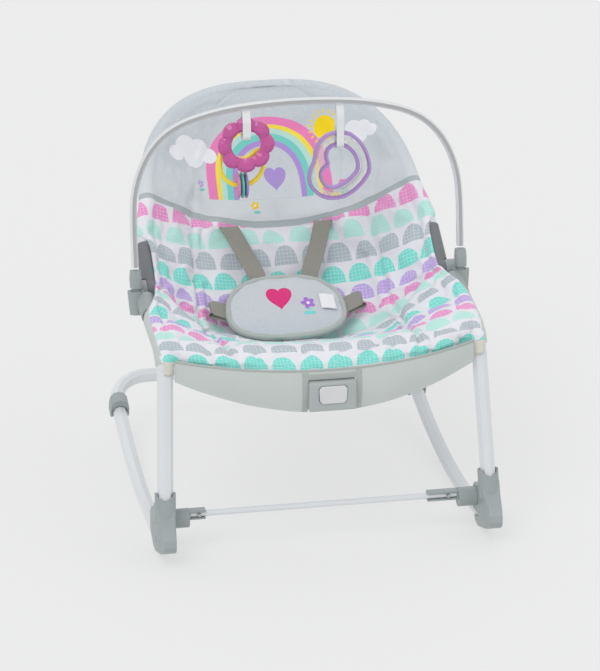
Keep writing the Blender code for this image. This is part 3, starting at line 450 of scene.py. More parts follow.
WHITE_INK = tone(236, 238, 242)
STEM_INK = tone(126, 210, 198)
RAINBOW_LEFT, RAINBOW_FOOT = 0.006, 0.165      # how far it is left of the middle, and up the back
RAINBOW_HALF, RAINBOW_HEIGHT = 0.091, 0.114    # the outer edge of each band is a share of these
RAINBOW = ((1.0, tone(238, 133, 189)), (0.85, tone(248, 226, 76)), (0.775, tone(188, 226, 217)),
           (0.685, tone(122, 211, 198)), (0.585, tone(179, 148, 218)), (0.50, None))
CLOUDS = ((-0.115, 0.234, 0.040), (0.131, 0.246, 0.030))        # place and size
HEART = (0.004, 0.190, 0.020)
SUN_PLACE = (0.083, 0.258)
BLOSSOMS = ((-0.108, 0.188, 0.0062, tone(190, 170, 226)),
            (-0.030, 0.1555, 0.0068, tone(246, 204, 40)),
            (0.099, 0.177, 0.0062, tone(236, 128, 178)))


def print_head(g, u, v, ground):
    """Rainbow, clouds, sun, blossoms and a heart on the head panel."""
    x = (u + RAINBOW_LEFT) / RAINBOW_HALF
    y = ((v - RAINBOW_FOOT) / RAINBOW_HEIGHT).most(0.0)
    arch = (square(x) + y ** 3.5).root()
    on = (RAINBOW_FOOT - v).below(0.0, 0.0008)
    colour = ground
    for edge, ink in RAINBOW:
        colour = g.mix(arch.below(edge, 0.008) * on, colour, ground if ink is None else ink)
    for cloud in CLOUDS:
        colour = g.mix(cloud_mask(u, v, *cloud), colour, WHITE_INK)
    colour = g.mix(sun_mask(g, u, v, *SUN_PLACE), colour, tone(250, 218, 28))
    for cx, cy, size, ink in BLOSSOMS:
        stem = round_mask(u, v, cx + 0.002, cy - size * 1.5, size * 0.75, 0.45)
        colour = g.mix(stem, colour, STEM_INK)
        colour = g.mix(blossom_mask(g, u, v, cx, cy, size), colour, ink)
        colour = g.mix(round_mask(u, v, cx, cy, size * 0.28), colour, WHITE_INK)
    return g.mix(heart_mask(u, v, *HEART), colour, tone(176, 150, 216))


BAND_WIDTH = 0.0085        # trim band along the upper side of the head panel's seam
STITCH_PLACE = 0.0070      # distance from that seam to the line of stitches on the band
STITCH_PITCH = 0.0032


def cover_material():
    """Head panel with its prints, trim band and the printed body cloth."""
    g = Graph("cover_print")
    u, v = g.cloth_place()
    yarn = slub(g, u, v)
    head_ground = g.mix(g.clamp(0.5 + yarn * 1.3), tone(188, 196, 201), tone(214, 220, 224))
    body_ground = g.mix(g.clamp(0.5 + yarn * 1.0), tone(226, 225, 233), tone(243, 242, 247))
    # Painted light: the head panel's ground is lightened towards its foot, where light from above falls
    # on the more level cloth.
    head_ground = g.mix(g.clamp((0.225 - v) / 0.10) * 0.80, head_ground, tone(226, 230, 233))
    head = print_head(g, u, v, head_ground)
    body = print_domes(g, u, v, body_ground)
    seam = v - (towards_side(g, u, SEAM_POWER) * SEAM_RISE + SEAM_LOW)
    band = g.mix(g.clamp(0.5 + yarn), tone(170, 181, 184), tone(188, 197, 199))
    colour = g.mix((seam - BAND_WIDTH).below(0.0, EDGE_BLUR), head, band)
    colour = g.mix(seam.below(0.0, EDGE_BLUR), colour, body)
    stitch = (seam - STITCH_PLACE).size().below(0.0004, 0.0003)
    stitch = stitch * (u / STITCH_PITCH).fraction().below(0.6, 0.1)
    colour = g.mix(stitch * 0.5, colour, tone(140, 150, 153))
    ridge = (seam + 0.0004).size().below(0.0010, 0.0014)
    g.bump(weave_height(u, v) * 0.4 + yarn * 0.9 - ridge * 1.6, 0.40, 0.0005)
    return g.finish(colour, 0.88, 0.2)


FLOWER_X = 0.031           # place across of the flower printed beside the heart on the pad
LEAF_INK = tone(126, 214, 205)


def pad_material():
    """The pad's grey cloth, printed with a heart and a flower on its stem."""
    g = Graph("pad_print")
    u, v = g.cloth_place()
    yarn = slub(g, u, v)
    colour = g.mix(g.clamp(0.5 + yarn * 1.3), tone(188, 193, 198), tone(207, 212, 216))
    colour = g.mix(heart_mask(u, v, -0.008, 0.007, 0.0230), colour, tone(218, 48, 122))
    for leaf in (0.0270, 0.0350):
        colour = g.mix(round_mask(u, v, leaf, -0.0165, 0.0052, 0.6), colour, LEAF_INK)
    sepal = round_mask(u, v, FLOWER_X, -0.010, 0.0060, 0.2)
    stem = round_mask(u, v, FLOWER_X, -0.012, 0.0009, 8.0)
    colour = g.mix(sepal.most(stem), colour, LEAF_INK)
    colour = g.mix(blossom_mask(g, u, v, FLOWER_X, 0.001, 0.0105), colour, tone(168, 116, 206))
    colour = g.mix(round_mask(u, v, FLOWER_X, 0.001, 0.0024), colour, tone(240, 240, 245))
    g.bump(weave_height(u, v) * 0.4 + yarn, 0.35, 0.0004)
    return g.finish(colour, 0.88, 0.2)


make_camera()
make_lights()
make_floor()
COVER = cover_material()
PAD = pad_material()
LINING = cloth_material("lining_cloth", tone(206, 209, 212))
SKIRT = cloth_material("skirt_cloth", tone(201, 207, 204), 0.12)
BINDING = cloth_material("binding_tape", tone(178, 184, 180), 0.15)
CREAM = cloth_material("cream_tape", tone(222, 220, 208), 0.15)
LABEL = cloth_material("label_cloth", tone(238, 238, 240), 0.10)
PAD_CLOTH = cloth_material("pad_cloth", tone(194, 200, 206), 0.15)
WEBBING = webbing_material("webbing", tone(152, 150, 142))
TOY_TAPE = webbing_material("toy_tape", tone(232, 234, 235), 0.30)


# ---- mesh builders ------------------------------------------------------
def adopt(obj, *looks):
    """Puts a new object in the scene with its materials."""
    pieces.objects.link(obj)
    for look in looks:
        obj.data.materials.append(look)
    return obj


def surface(name, rows, look, wrap=False, loop=False, caps=False, spot=None):
    """A smooth mesh over rows of points; wrap joins each row's ends, loop the first and last
    row. Its flat-cloth map is in metres, or spot(row, column) gives it."""
    rows = [[Vector(p) for p in row] for row in rows]
    count, size = len(rows), len(rows[0])
    across = [0.0]
    for i in range(1, size + 1):
        across.append(across[-1] + (rows[0][i % size] - rows[0][i - 1]).length)
    along = [0.0]
    for k in range(1, count + 1):
        along.append(along[-1] + (rows[k % count][0] - rows[k - 1][0]).length)
    middle = across[size - 1] / 2
    faces, places = [], []
    for k in range(count if loop else count - 1):
        for i in range(size if wrap else size - 1):
            corners = ((k, i), (k, i + 1), (k + 1, i + 1), (k + 1, i))
            faces.append([(a % count) * size + b % size for a, b in corners])
            places.append([spot(a, b) if spot else (across[b] - middle, along[a])
                           for a, b in corners])
    if caps:
        faces.append(list(range(size))[::-1])
        faces.append([(count - 1) * size + i for i in range(size)])
        for k, order in ((0, range(size)[::-1]), (count - 1, range(size))):
            places.append([spot(k, i) if spot else (across[i] - middle, along[k]) for i in order])
    data = bpy.data.meshes.new(name)
    data.from_pydata([p for row in rows for p in row], [], faces)
    layer = data.uv_layers.new(name="cloth")
    layer.data.foreach_set("uv", [c for face in places for place in face for c in place])
    for polygon in data.polygons:
        polygon.use_smooth = len(polygon.vertices) == 4
    tidy = bmesh.new()
    tidy.from_mesh(data)
    bmesh.ops.recalc_face_normals(tidy, faces=tidy.faces)
    tidy.to_mesh(data)
    tidy.free()
    return adopt(bpy.data.objects.new(name, data), look)


def smooth_path(points, steps):
    """A Catmull-Rom curve through the points."""
    points = [Vector(p) for p in points]
    around = [points[0] * 2 - points[1]] + points + [points[-1] * 2 - points[-2]]
    path = []
    for k in range(len(points) - 1):
        a, b, c, d = around[k:k + 4]
        for i in range(steps):
            t = i / steps
            path.append(0.5 * (2 * b + (c - a) * t + (2 * a - 5 * b + 4 * c - d) * t * t
                               + (3 * b - a - 3 * c + d) * t ** 3))
    return path + [points[-1]]


def rounded_ring(half_x, power_x, half_y, power_y, sides, first=0.0):
    """A closed outline of points between an ellipse (powers of 1) and a rectangle (powers near 0)."""
    ring = []
    for i in range(sides):
        turn = 2 * math.pi * (i + first) / sides
        c, s = math.cos(turn), math.sin(turn)
        ring.append((half_x * math.copysign(abs(c) ** power_x, c),
                     half_y * math.copysign(abs(s) ** power_y, s)))
    return ring


def filleted(points, radius, steps):
    """A flat polyline with one rounded corner."""
    first, corner, last = (Vector(p) for p in points)
    a, b = (first - corner).normalized(), (last - corner).normalized()
    half = a.angle(b) / 2
    centre = corner + (a + b).normalized() * (radius / math.sin(half))
    start = corner + a * (radius / math.tan(half)) - centre
    end = corner + b * (radius / math.tan(half)) - centre
    arc = [centre + (start.lerp(end, k / steps)).normalized() * radius for k in range(steps + 1)]
    return [first] + arc + [last]


# ---- seat cover ---------------------------------------------------------
# The tables hold one row across the cover per line, from the front seam (printed row 14) to the head.
# Each row runs level in the middle and meets the roll of cloth round a tube at either side.
# On the seat: printed row, middle (y, z), y where the side tube is met, angle (degrees) at which
# the cloth meets its roll, and how flat the middle is. The side tube gives the rest.
SEAT_ROWS = ((14, (0.0240, 0.2730), 0.0850, 62, 2.0), (13.4, (0.0345, 0.2800), 0.0880, 50, 2.0),
             (13, (0.0490, 0.2820), 0.0950, 34, 2.1), (12, (0.0830, 0.2800), 0.1080, 22, 2.2),
             (11, (0.1170, 0.2695), 0.1280, 24, 2.3), (10, (0.1500, 0.2540), 0.1500, 30, 2.4),
             (9, (0.1840, 0.2430), 0.1730, 36, 2.4), (8.4, (0.2050, 0.2350), 0.1860, 38, 2.4))
# In the fold, with no tube: printed row, middle (y, z), centre of the edge roll (x, y, z), its
# radius, meeting angle, lean of the edge (degrees), and how flat the middle is.
FOLD_ROWS = ((8.1, (0.2150, 0.2310), (0.2140, 0.1950, 0.3190), 0.0040, 40, 8, 2.4),
             (7, (0.2520, 0.2245), (0.2065, 0.2180, 0.3210), 0.0028, 45, 12, 2.5),
             (6, (0.2885, 0.2289), (0.2030, 0.2390, 0.3215), 0.0025, 48, 20, 2.6),
             (5.4, (0.3030, 0.2420), (0.2015, 0.2500, 0.3225), 0.0025, 46, 30, 2.8))
# On the back: printed row, distance up the back, sag of the middle, half width of the edge and its
# height off the back's plane, radius of its roll, and meeting angle.
BACK_ROWS = ((5, -0.002, 0.0720, 0.1985, 0.0160, 0.0025, 44),
             (4, 0.028, 0.0670, 0.1970, 0.0135, 0.0025, 42),
             (3, 0.060, 0.0626, 0.1965, 0.0130, 0.0028, 40),
             (2.5, 0.076, 0.0600, 0.1975, 0.0110, 0.0040, 38),
             (2.1, 0.089, 0.0575, 0.2044, 0.0, 0.0120, 36),
             (1, 0.124, 0.0550, 0.1966, 0.0, 0.0120, 36))
# Above those rows the edge follows the backrest tube: distance up the back, sag of the middle.
HEAD_SAG = ((0.124, 0.0550), (0.160, 0.0530), (0.200, 0.0445), (0.235, 0.0320), (0.270, 0.0155),
            (0.298, 0.0010), (0.3215, -0.0110))
SEAT_ROLL = 0.0133              # radius of the cloth's roll round the side tubes
HEAD_ROLL = 0.0120              # and round the backrest tube
FRONT_ROLL = 0.0042             # and at the front seam, where it holds no tube
FRONT_NORMAL = Vector((0, -0.84, 0.54))
FRONT_IN = Vector((0, 0.54, 0.84))
ROLL_END = math.radians(250)    # how far over a tube the cloth's edge reaches
PRINT_END = math.radians(38)    # how far over the side tube the printed cloth reaches
BACK_FLAT = 3.0                 # how flat the middle of the back is
COLUMNS = 92
ARC_STEPS = 18
HEAD_STEPS = 46
PAD_DEPTH = 0.0075              # thickness of the padded cloth
ROW_COUNT = 105                 # rows of the mesh below the head
SOFTNESS = (2.5, 2.5, 1.2, 1.2, 1.2, 1.0, 2.0, 2.0, 3.0)    # rounding of each of their nine values
WAIST_START, WAIST_LENGTH = 0.076, 0.074


def seat_edge(y):
    """The side tube's axis and the lean of its upper side, in degrees, where it passes y."""
    path = filleted(LEG_PATH, LEG_BEND_RADIUS, 12)
    for a, b in zip(path, path[1:]):
        if a.x <= y <= b.x:
            share = (y - a.x) / (b.x - a.x)
            return a.lerp(b, share), math.degrees(math.atan2(b.y - a.y, b.x - a.x))
    return path[-1], 8.0


def waisted(x, s):
    """A half width drawn in by the slight waist above the recline arms."""
    t = min(1.0, max(0.0, (s - WAIST_START) / WAIST_LENGTH))
    return x * (1 - HEAD_WAIST * t * t * (3 - 2 * t))


def cover_keys():
    """The tables as rows of ten numbers: printed row, middle y and z, edge x, y and z, radius,
    meeting angle, lean and flatness."""
    keys = []
    for p, (my, mz), y, meet, power in SEAT_ROWS:
        axis, lean = seat_edge(y)
        keys.append((p, my, mz, LEG_TOP_X, axis.x, axis.y, SEAT_ROLL, meet, lean, power))
    for p, (my, mz), (ex, ey, ez), radius, meet, lean, power in FOLD_ROWS:
        keys.append((p, my, mz, ex, ey, ez, radius, meet, lean, power))
    for p, s, sag, ex, lift, radius, meet in BACK_ROWS:
        middle = back_point(0, s, -sag)
        edge = back_point(ex, s, lift)
        keys.append((p, middle.y + ORIGIN_Y, middle.z, ex, edge.y + ORIGIN_Y, edge.z, radius,
                     meet, math.degrees(BACK_ANGLE), BACK_FLAT))
    return keys


def soften(values, width):
    """Rounds the corners of a sampled line."""
    reach = int(3 * width)
    kernel = np.exp(-0.5 * (np.arange(-reach, reach + 1) / width) ** 2)
    padded = np.concatenate([2 * values[0] - values[reach:0:-1], values,
                             2 * values[-1] - values[-2:-reach - 2:-1]])
    return np.convolve(padded, kernel / kernel.sum(), "valid")


def head_rows():
    """The cover's rows that follow the rounded head of the backrest tube."""
    sags = np.array(HEAD_SAG)
    length = BACK_LENGTH - HEAD_START
    first = math.asin(((HEAD_SAG[0][0] - HEAD_START) / length) ** (HEAD_POWER / 2))
    last = math.radians(87.5)
    rows = []
    for k in range(1, HEAD_STEPS + 1):
        share = k / HEAD_STEPS
        turn = first + (last - first) * share ** 0.94       # rows lie closer towards the top
        x = BACK_X * math.cos(turn) ** (2 / HEAD_POWER)
        s = HEAD_START + length * math.sin(turn) ** (2 / HEAD_POWER)
        slope = (x / BACK_X) ** (HEAD_POWER - 1) / BACK_X
        climb = ((s - HEAD_START) / length) ** (HEAD_POWER - 1) / length
        inward = (Vector((-1, 0, 0)) * slope - BACK_ALONG * climb).normalized()
        sag = float(np.interp(s, sags[:, 0], sags[:, 1]))
        dip = BACK_ALONG * 0.0049 * share ** 6              # the last rows hang a little in the middle
        middle = back_point(0, s, -sag) - dip
        rows.append(((PRINT_ZERO - s) / PRINT_PITCH, middle, back_point(waisted(x, s), s), HEAD_ROLL,
                     math.radians(36 - 12 * k / HEAD_STEPS), BACK_ANGLE,
                     BACK_FLAT - 0.6 * k / HEAD_STEPS, inward))
    return rows


def cover_rows():
    """Every row of the cover as (printed row, middle, roll centre, radius, angle, lean, power,
    inward direction)."""
    keys = np.array(sorted(cover_keys(), reverse=True))
    rows = []
    fine = np.linspace(14.0, 1.0, ROW_COUNT)
    columns = [np.interp(-fine, -keys[:, 0], keys[:, k]) for k in range(1, 10)]
    for k, width in enumerate(SOFTNESS):
        columns[k] = soften(columns[k], width)
    for j, p in enumerate(fine):
        my, mz, ex, ey, ez, radius, meet, lean, power = (c[j] for c in columns)
        rows.append((p, at(0, my, mz), at(ex, ey, ez), radius, math.radians(meet),
                     math.radians(lean), power, Vector((-1, 0, 0))))
    return rows + head_rows()


def roll_point(side, row, turn):
    """A point on a row's edge roll, turned outwards from straight up."""
    _, _, centre, radius, _, lean, _, inward = row
    normal = Vector((0, -math.sin(lean), math.cos(lean)))
    inward = Vector((inward.x * side, inward.y, inward.z))
    centre = Vector((centre.x * side, centre.y, centre.z))
    return centre + (normal * math.cos(turn) - inward * math.sin(turn)) * radius


def sheet_points(rows):
    """The cover's upper face as an array [row, column, xyz] and its flat-cloth places."""
    grid = np.zeros((len(rows), COLUMNS + 1, 3))
    flat = np.zeros((len(rows), COLUMNS + 1, 2))
    crowding = math.pi / 2 * 0.86               # the columns lie closer together at the sides
    for j, row in enumerate(rows):
        p, middle, _, _, meet, _, power, _ = row
        left, right = roll_point(-1, row, -meet), roll_point(1, row, -meet)
        for i in range(COLUMNS + 1):
            u = math.sin((2 * i / COLUMNS - 1) * crowding) / math.sin(crowding)
            edge = left if u < 0 else right
            rise = abs(u) ** power
            grid[j, i] = (edge.x * abs(u), middle.y + (edge.y - middle.y) * rise,
                          middle.z + (edge.z - middle.z) * rise)
        steps = np.linalg.norm(np.diff(grid[j], axis=0), axis=1)
        length = np.concatenate([[0], np.cumsum(steps)])
        flat[j, :, 0] = length - length[COLUMNS // 2]
        flat[j, :, 1] = PRINT_ZERO - PRINT_PITCH * p
    return grid, flat


def grid_normals(grid):
    """Unit normals of a grid of points."""
    across = np.gradient(grid, axis=1)
    along = np.gradient(grid, axis=0)
    normals = np.cross(across, along)
    return normals / np.maximum(np.linalg.norm(normals, axis=2, keepdims=True), 1e-9)


def smooth_step(x):
    """0 below 0, 1 above 1, and a smooth rise between."""
    x = np.clip(x, 0, 1)
    return x * x * (3 - 2 * x)


SIDE_SEAM = 0.615              # place of the seams along the sides, as a share of the half width
EDGE_SEAM = 0.011              # distance of the outermost seam from the edge
FRONT_MIDDLE = -0.262          # distance up the back (below 0: down the seat) of the front puff
PANEL_PUFF = 0.0024            # height of the panels between seams
SEAM_DEPTH = 0.0042            # how far the seams sink
FRONT_PUFF = 0.0020
PINCH_DEPTH, PINCH_WIDTH = 0.0034, 0.0055
RIPPLE_HEIGHT = 0.0007
FAN_HEIGHT = 0.0014            # folds that fan out from the recline arms
FRONT_PINCHES = (-0.162, -0.098, -0.034, 0.021, 0.092, 0.151)   # places across of its small folds


def head_seam(u):
    """Distance up the back of the seam under the head panel."""
    return SEAM_LOW + SEAM_RISE * np.clip((np.abs(u) - SIDE_START) / SIDE_WIDTH, 0, 1) ** SEAM_POWER


def seam_nearness(flat, width):
    """1 on the cover's quilting seams, falling to 0 a width away."""
    u, v = flat[:, :, 0], flat[:, :, 1]
    half = np.abs(u).max(axis=1, keepdims=True)
    fade = np.clip((v - 0.10) / 0.10, 0, 1) * width
    lines = (v - head_seam(u),
             np.abs(np.abs(u) - half * SIDE_SEAM) + fade * 0.55,
             np.where(v > -0.03, np.abs(half - EDGE_SEAM - np.abs(u)) + fade, 1.0),
             np.where(np.abs(u) > half * SIDE_SEAM, v + 0.026, 1.0),
             v + 0.290)
    near = np.zeros_like(u)
    for distance in lines:
        near = np.maximum(near, np.clip(1 - np.abs(distance) / width, 0, 1))
    return near


def quilt(grid, flat):
    """Puffs the panels between seams and lets the seams sink."""
    u, v = flat[:, :, 0], flat[:, :, 1]
    half = np.abs(u).max(axis=1, keepdims=True)
    edge = smooth_step((half - np.abs(u)) / 0.016) * smooth_step((v.max() - v) / 0.02)
    groove = seam_nearness(flat, 0.010) ** 1.5
    front = np.exp(-((v - FRONT_MIDDLE) / 0.026) ** 2) * FRONT_PUFF
    height = PANEL_PUFF * (1 - seam_nearness(flat, 0.032) ** 2) - SEAM_DEPTH * groove + front
    pinch = sum(np.exp(-((u - place) / PINCH_WIDTH) ** 2) for place in FRONT_PINCHES)
    height = height - pinch * np.exp(-((v - FRONT_MIDDLE) / 0.022) ** 2) * PINCH_DEPTH
    ripple = np.sin(u * 61 + 1.3 * np.sin(v * 37)) * np.sin(v * 53 + 1.7 * np.sin(u * 29 + 0.6))
    wing = smooth_step((np.abs(u) / half - 0.60) / 0.25)
    fan = np.sin(np.arctan2(v + 0.030, np.abs(np.abs(u) - half) + 0.02) * 15.0 + np.sign(u))
    near_fold = np.exp(-((v + 0.04) / 0.10) ** 2)
    height = height + ripple * RIPPLE_HEIGHT + wing * fan * near_fold * FAN_HEIGHT
    return grid + grid_normals(grid) * (height * edge)[:, :, None]


SWELL_SETTINGS = {"vertex_group_mass": "sewn", "quality": 6, "mass": 0.25, "tension_stiffness": 12,
                  "compression_stiffness": 12, "shear_stiffness": 6, "bending_stiffness": 0.3,
                  "shrink_min": -0.045, "use_pressure": True, "uniform_pressure_force": 1.6}
SWELL_FRAMES = 20
SWELL_LIMIT = 0.0055           # the furthest that the simulation may move the cloth


def cloth_swell(grid, flat):
    """Cloth simulation of the upper face, sewn down along its seams and edges."""
    count, size = grid.shape[:2]
    data = bpy.data.meshes.new("swell")
    faces = [(j * size + i, j * size + i + 1, (j + 1) * size + i + 1, (j + 1) * size + i)
             for j in range(count - 1) for i in range(size - 1)]
    data.from_pydata([Vector(p) for p in grid.reshape(-1, 3)], [], faces)
    temp = bpy.data.objects.new("swell", data)
    scene.collection.objects.link(temp)
    near = seam_nearness(flat, 0.006)
    near[0], near[-1], near[:, 0], near[:, -1] = 1, 1, 1, 1
    pins = temp.vertex_groups.new(name="sewn")
    for k, weight in enumerate(near.reshape(-1)):
        if weight > 0.02:
            pins.add([k], float(weight), "REPLACE")
    cloth = temp.modifiers.new("cloth", "CLOTH")
    for key, value in SWELL_SETTINGS.items():
        setattr(cloth.settings, key, value)
    cloth.settings.effector_weights.gravity = 0
    cloth.collision_settings.use_collision = False
    cloth.point_cache.frame_start, cloth.point_cache.frame_end = 1, SWELL_FRAMES
    for number in range(1, SWELL_FRAMES + 1):
        scene.frame_set(number)
        temp.evaluated_get(bpy.context.evaluated_depsgraph_get())
    result = temp.evaluated_get(bpy.context.evaluated_depsgraph_get()).to_mesh()
    moved = np.zeros(len(data.vertices) * 3)
    result.vertices.foreach_get("co", moved)
    scene.frame_set(1)
    bpy.data.objects.remove(temp)
    shift = moved.reshape(grid.shape) - grid
    length = np.linalg.norm(shift, axis=2, keepdims=True)
    shift *= np.minimum(1, SWELL_LIMIT / np.maximum(length, 1e-9))
    u, v = flat[:, :, 0], flat[:, :, 1]
    half = np.abs(u).max(axis=1, keepdims=True)
    calm = smooth_step((half - np.abs(u)) / 0.030) * smooth_step((v.max() - v) / 0.050)
    calm = calm * (1 - 0.5 * smooth_step((v - 0.18) / 0.06))
    return grid + shift * np.where(v > 0.10, calm, 1.0)[:, :, None]


def border_cells(count, size):
    """The cells (row, column) round the cover's edge, in order."""
    front = [(0, i) for i in range(size)]
    right = [(j, size - 1) for j in range(1, count)]
    head = [(count - 1, i) for i in range(size - 2, -1, -1)]
    left = [(j, 0) for j in range(count - 2, 0, -1)]
    return front + right + head + left


def edge_roll(rows, cell, start):
    """Points from a cell of the cover's edge over its tube to the underside."""
    j, i = cell
    _, _, _, radius, meet, _, _, _ = rows[j]
    side = -1 if i <= COLUMNS / 2 else 1
    points = [start]
    for k in range(1, ARC_STEPS + 1):
        share = k / ARC_STEPS
        turn = -meet + (ROLL_END + meet) * share
        if j == 0 and 0 < i < COLUMNS:
            turn = math.pi * share
            points.append(start + FRONT_NORMAL * FRONT_ROLL * (math.cos(turn) - 1)
                          - FRONT_IN * FRONT_ROLL * math.sin(turn))
        elif j == len(rows) - 1:
            inward = -BACK_ALONG
            centre = start - (BACK_NORMAL * math.cos(meet) + inward * math.sin(meet)) * radius
            points.append(centre + (BACK_NORMAL * math.cos(turn) - inward * math.sin(turn)) * radius)
        else:
            points.append(roll_point(side, rows[j], turn))
    return points


def roll_places(cell, place, points, count):
    """Flat-cloth places of an edge roll's points, straight out from its place on the edge."""
    j, i = cell
    at_side = 0 < j < count - 1 or i in (0, COLUMNS)
    across = (-1 if i <= COLUMNS / 2 else 1) if at_side else 0
    along = 0 if at_side else (-1 if j == 0 else 1)
    places, reach = [tuple(place)], 0.0
    for a, b in zip(points, points[1:]):
        reach += (b - a).length
        places.append((place[0] + across * reach, place[1] + along * reach))
    return places


def lining_points(base, flat, ends):
    """The underside, drawn out to where each edge roll ends; ends has that point for each cell."""
    count, size = base.shape[:2]
    under = base - grid_normals(base) * PAD_DEPTH
    half = np.abs(flat[:, :, 0]).max(axis=1)
    shift = np.zeros_like(under)
    for j in range(count):
        left = np.array(ends[(j, 0)]) - under[j, 0]
        right = np.array(ends[(j, size - 1)]) - under[j, size - 1]
        near = smooth_step(1 - (half[j] - np.abs(flat[j, :, 0])) / 0.030)[:, None]
        shift[j] = near * np.where(flat[j, :, 0][:, None] < 0, left, right)
    for i in range(1, size - 1):
        for first, step, depth in ((0, 1, 10), (count - 1, -1, 9)):
            gap = np.array(ends[(first, i)]) - under[first, i] - shift[first, i]
            for k in range(depth):
                shift[first + step * k, i] += gap * float(smooth_step(1 - k / depth))
    return under + shift


def make_cover():
    """The padded cover: upper face, rolls round the tubes and lining, as one closed skin."""
    rows = cover_rows()
    base, flat = sheet_points(rows)
    top = quilt(base, flat)
    top = cloth_swell(top, flat)
    count, size = base.shape[:2]
    border = border_cells(count, size)
    rolls = [edge_roll(rows, cell, Vector(top[cell])) for cell in border]
    under = lining_points(base, flat, {cell: roll[-1] for cell, roll in zip(border, rolls)})

    vertices = [Vector(p) for p in top.reshape(-1, 3)]
    upper = {(j, i): j * size + i for j in range(count) for i in range(size)}
    lower, on_border = {}, set(border)
    for cell in upper:
        if cell not in on_border:
            lower[cell] = len(vertices)
            vertices.append(Vector(under[cell]))
    chains = []
    for cell, roll in zip(border, rolls):
        chains.append([upper[cell]] + list(range(len(vertices), len(vertices) + ARC_STEPS)))
        vertices += roll[1:]
        lower[cell] = chains[-1][-1]

    printed, plain, lining = range(3)
    faces, places, looks = [], [], []
    for j in range(count - 1):
        for i in range(size - 1):
            corners = ((j, i), (j, i + 1), (j + 1, i + 1), (j + 1, i))
            for order, index, look in ((corners, upper, printed), (corners[::-1], lower, lining)):
                faces.append([index[c] for c in order])
                places.append([tuple(flat[c]) for c in order])
                looks.append(look)
    spots = [roll_places(cell, flat[cell], roll, count) for cell, roll in zip(border, rolls)]
    for k, (j, i) in enumerate(border):
        n = (k + 1) % len(border)
        meet = rows[j][4]
        print_steps = int(ARC_STEPS * (PRINT_END + meet) / (ROLL_END + meet))
        on_seat = flat[j, i, 1] < -0.030 and j > 0
        for a in range(ARC_STEPS):
            faces.append([chains[k][a], chains[k][a + 1], chains[n][a + 1], chains[n][a]])
            places.append([spots[k][a], spots[k][a + 1], spots[n][a + 1], spots[n][a]])
            looks.append(plain if on_seat and a >= print_steps else printed)

    data = bpy.data.meshes.new("seat_cover")
    data.from_pydata(vertices, [], faces)
    layer = data.uv_layers.new(name="cloth")
    layer.data.foreach_set("uv", [c for face in places for place in face for c in place])
    data.polygons.foreach_set("material_index", looks)
    data.polygons.foreach_set("use_smooth", [True] * len(faces))
    cover = adopt(bpy.data.objects.new("seat_cover", data), COVER, SKIRT, LINING)
    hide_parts("seat_sling", "back_panel")
    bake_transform(cover)


# ---- strips and sheets of cloth -----------------------------------------
def ribbon(name, path, across, width, thickness, look, steps=6):
    """A strap along a path, with rounded selvedges and its width along one direction."""
    line = smooth_path(path, steps)
    ring = rounded_ring(width / 2, 0.25, thickness / 2, 0.35, 20, 0.5)
    rows, reach = [], [0.0]
    for k, place in enumerate(line):
        along = (line[min(k + 1, len(line) - 1)] - line[max(k - 1, 0)]).normalized()
        side = Vector(across)
        side = (side - along * side.dot(along)).normalized()
        face = side.cross(along)
        rows.append([place + side * a + face * b for a, b in ring])
        if k:
            reach.append(reach[-1] + (place - line[k - 1]).length)
    return surface(name, rows, look, wrap=True, caps=True,
                   spot=lambda k, i: (ring[i % len(ring)][0], reach[k]))


def running_length(points):
    """Distance along a line of points, at each of them."""
    return np.concatenate([[0], np.cumsum(np.linalg.norm(np.diff(points, axis=0), axis=1))])


def thin_sheet(name, rows, thickness, look):
    """Two faces of a cloth sheet through rows of points, joined at the edges."""
    face = np.array([[tuple(p) for p in row] for row in rows])
    back = face - grid_normals(face) * thickness
    count, size = face.shape[:2]
    widths = running_length(face[count // 2])
    spots = list(widths - widths[-1] / 2)
    spots += spots[::-1]
    heights = running_length(face[:, size // 2])
    total = len(spots)
    loops = [[Vector(p) for p in (*face[k], *back[k][::-1])] for k in range(count)]
    sheet = surface(name, loops, look, wrap=True, spot=lambda k, i: (spots[i % total], heights[k]))
    data = bmesh.new()
    data.from_mesh(sheet.data)
    data.verts.ensure_lookup_table()
    layer = data.loops.layers.uv["cloth"]
    for k in (0, count - 1):
        first, last = k * total, k * total + total - 1
        for i in range(size - 1):
            corners = (first + i, first + i + 1, last - 1 - i, last - i)
            end = data.faces.new([data.verts[c] for c in corners])
            for loop in end.loops:
                loop[layer].uv = (0, heights[k])
    bmesh.ops.recalc_face_normals(data, faces=data.faces)
    data.to_mesh(sheet.data)
    data.free()
    return sheet


# ---- crotch pad ---------------------------------------------------------
HARNESS_X = -0.0165            # the harness hangs this far from the middle
TILT = math.radians(32)
PAD_X = Vector((1, 0, 0))
PAD_Y = Vector((0, math.cos(TILT), math.sin(TILT)))
PAD_Z = Vector((0, -math.sin(TILT), math.cos(TILT)))
PAD_MIDDLE = at(HARNESS_X, 0.2625, 0.2690)
PAD_HALF, PAD_UP, PAD_DOWN = 0.0825, 0.0560, 0.0490     # half width, reach above and below
PAD_DOME, PAD_RIM, PAD_BACK = 0.0095, 0.0040, 0.0030    # heights of the face, its rim and the back
PAD_SIDES = 96                 # points round the pad
FACE_RINGS, BACK_RINGS = 26, 14
BINDING_SIDES = 120
BINDING_HALF, BINDING_DEEP = 0.0041, 0.0050
LABEL_WIDTH, LABEL_HEIGHT = 0.0215, 0.026
LABEL_LEFT, LABEL_TOP, LABEL_MIDDLE = 0.0480, 0.016, 0.055
TAIL_PATH = ((HARNESS_X, 0.2500, 0.2480), (-0.006, 0.2330, 0.2400), (-0.004, 0.2130, 0.2390),
             (0, 0.1950, 0.2440), (0, 0.1780, 0.2520), (0, 0.1650, 0.2590), (0, 0.1560, 0.2590))


def pad_place(x, y, z):
    """A point x across, y up and z off the plane of the pad."""
    return PAD_MIDDLE + PAD_X * x + PAD_Y * y + PAD_Z * z


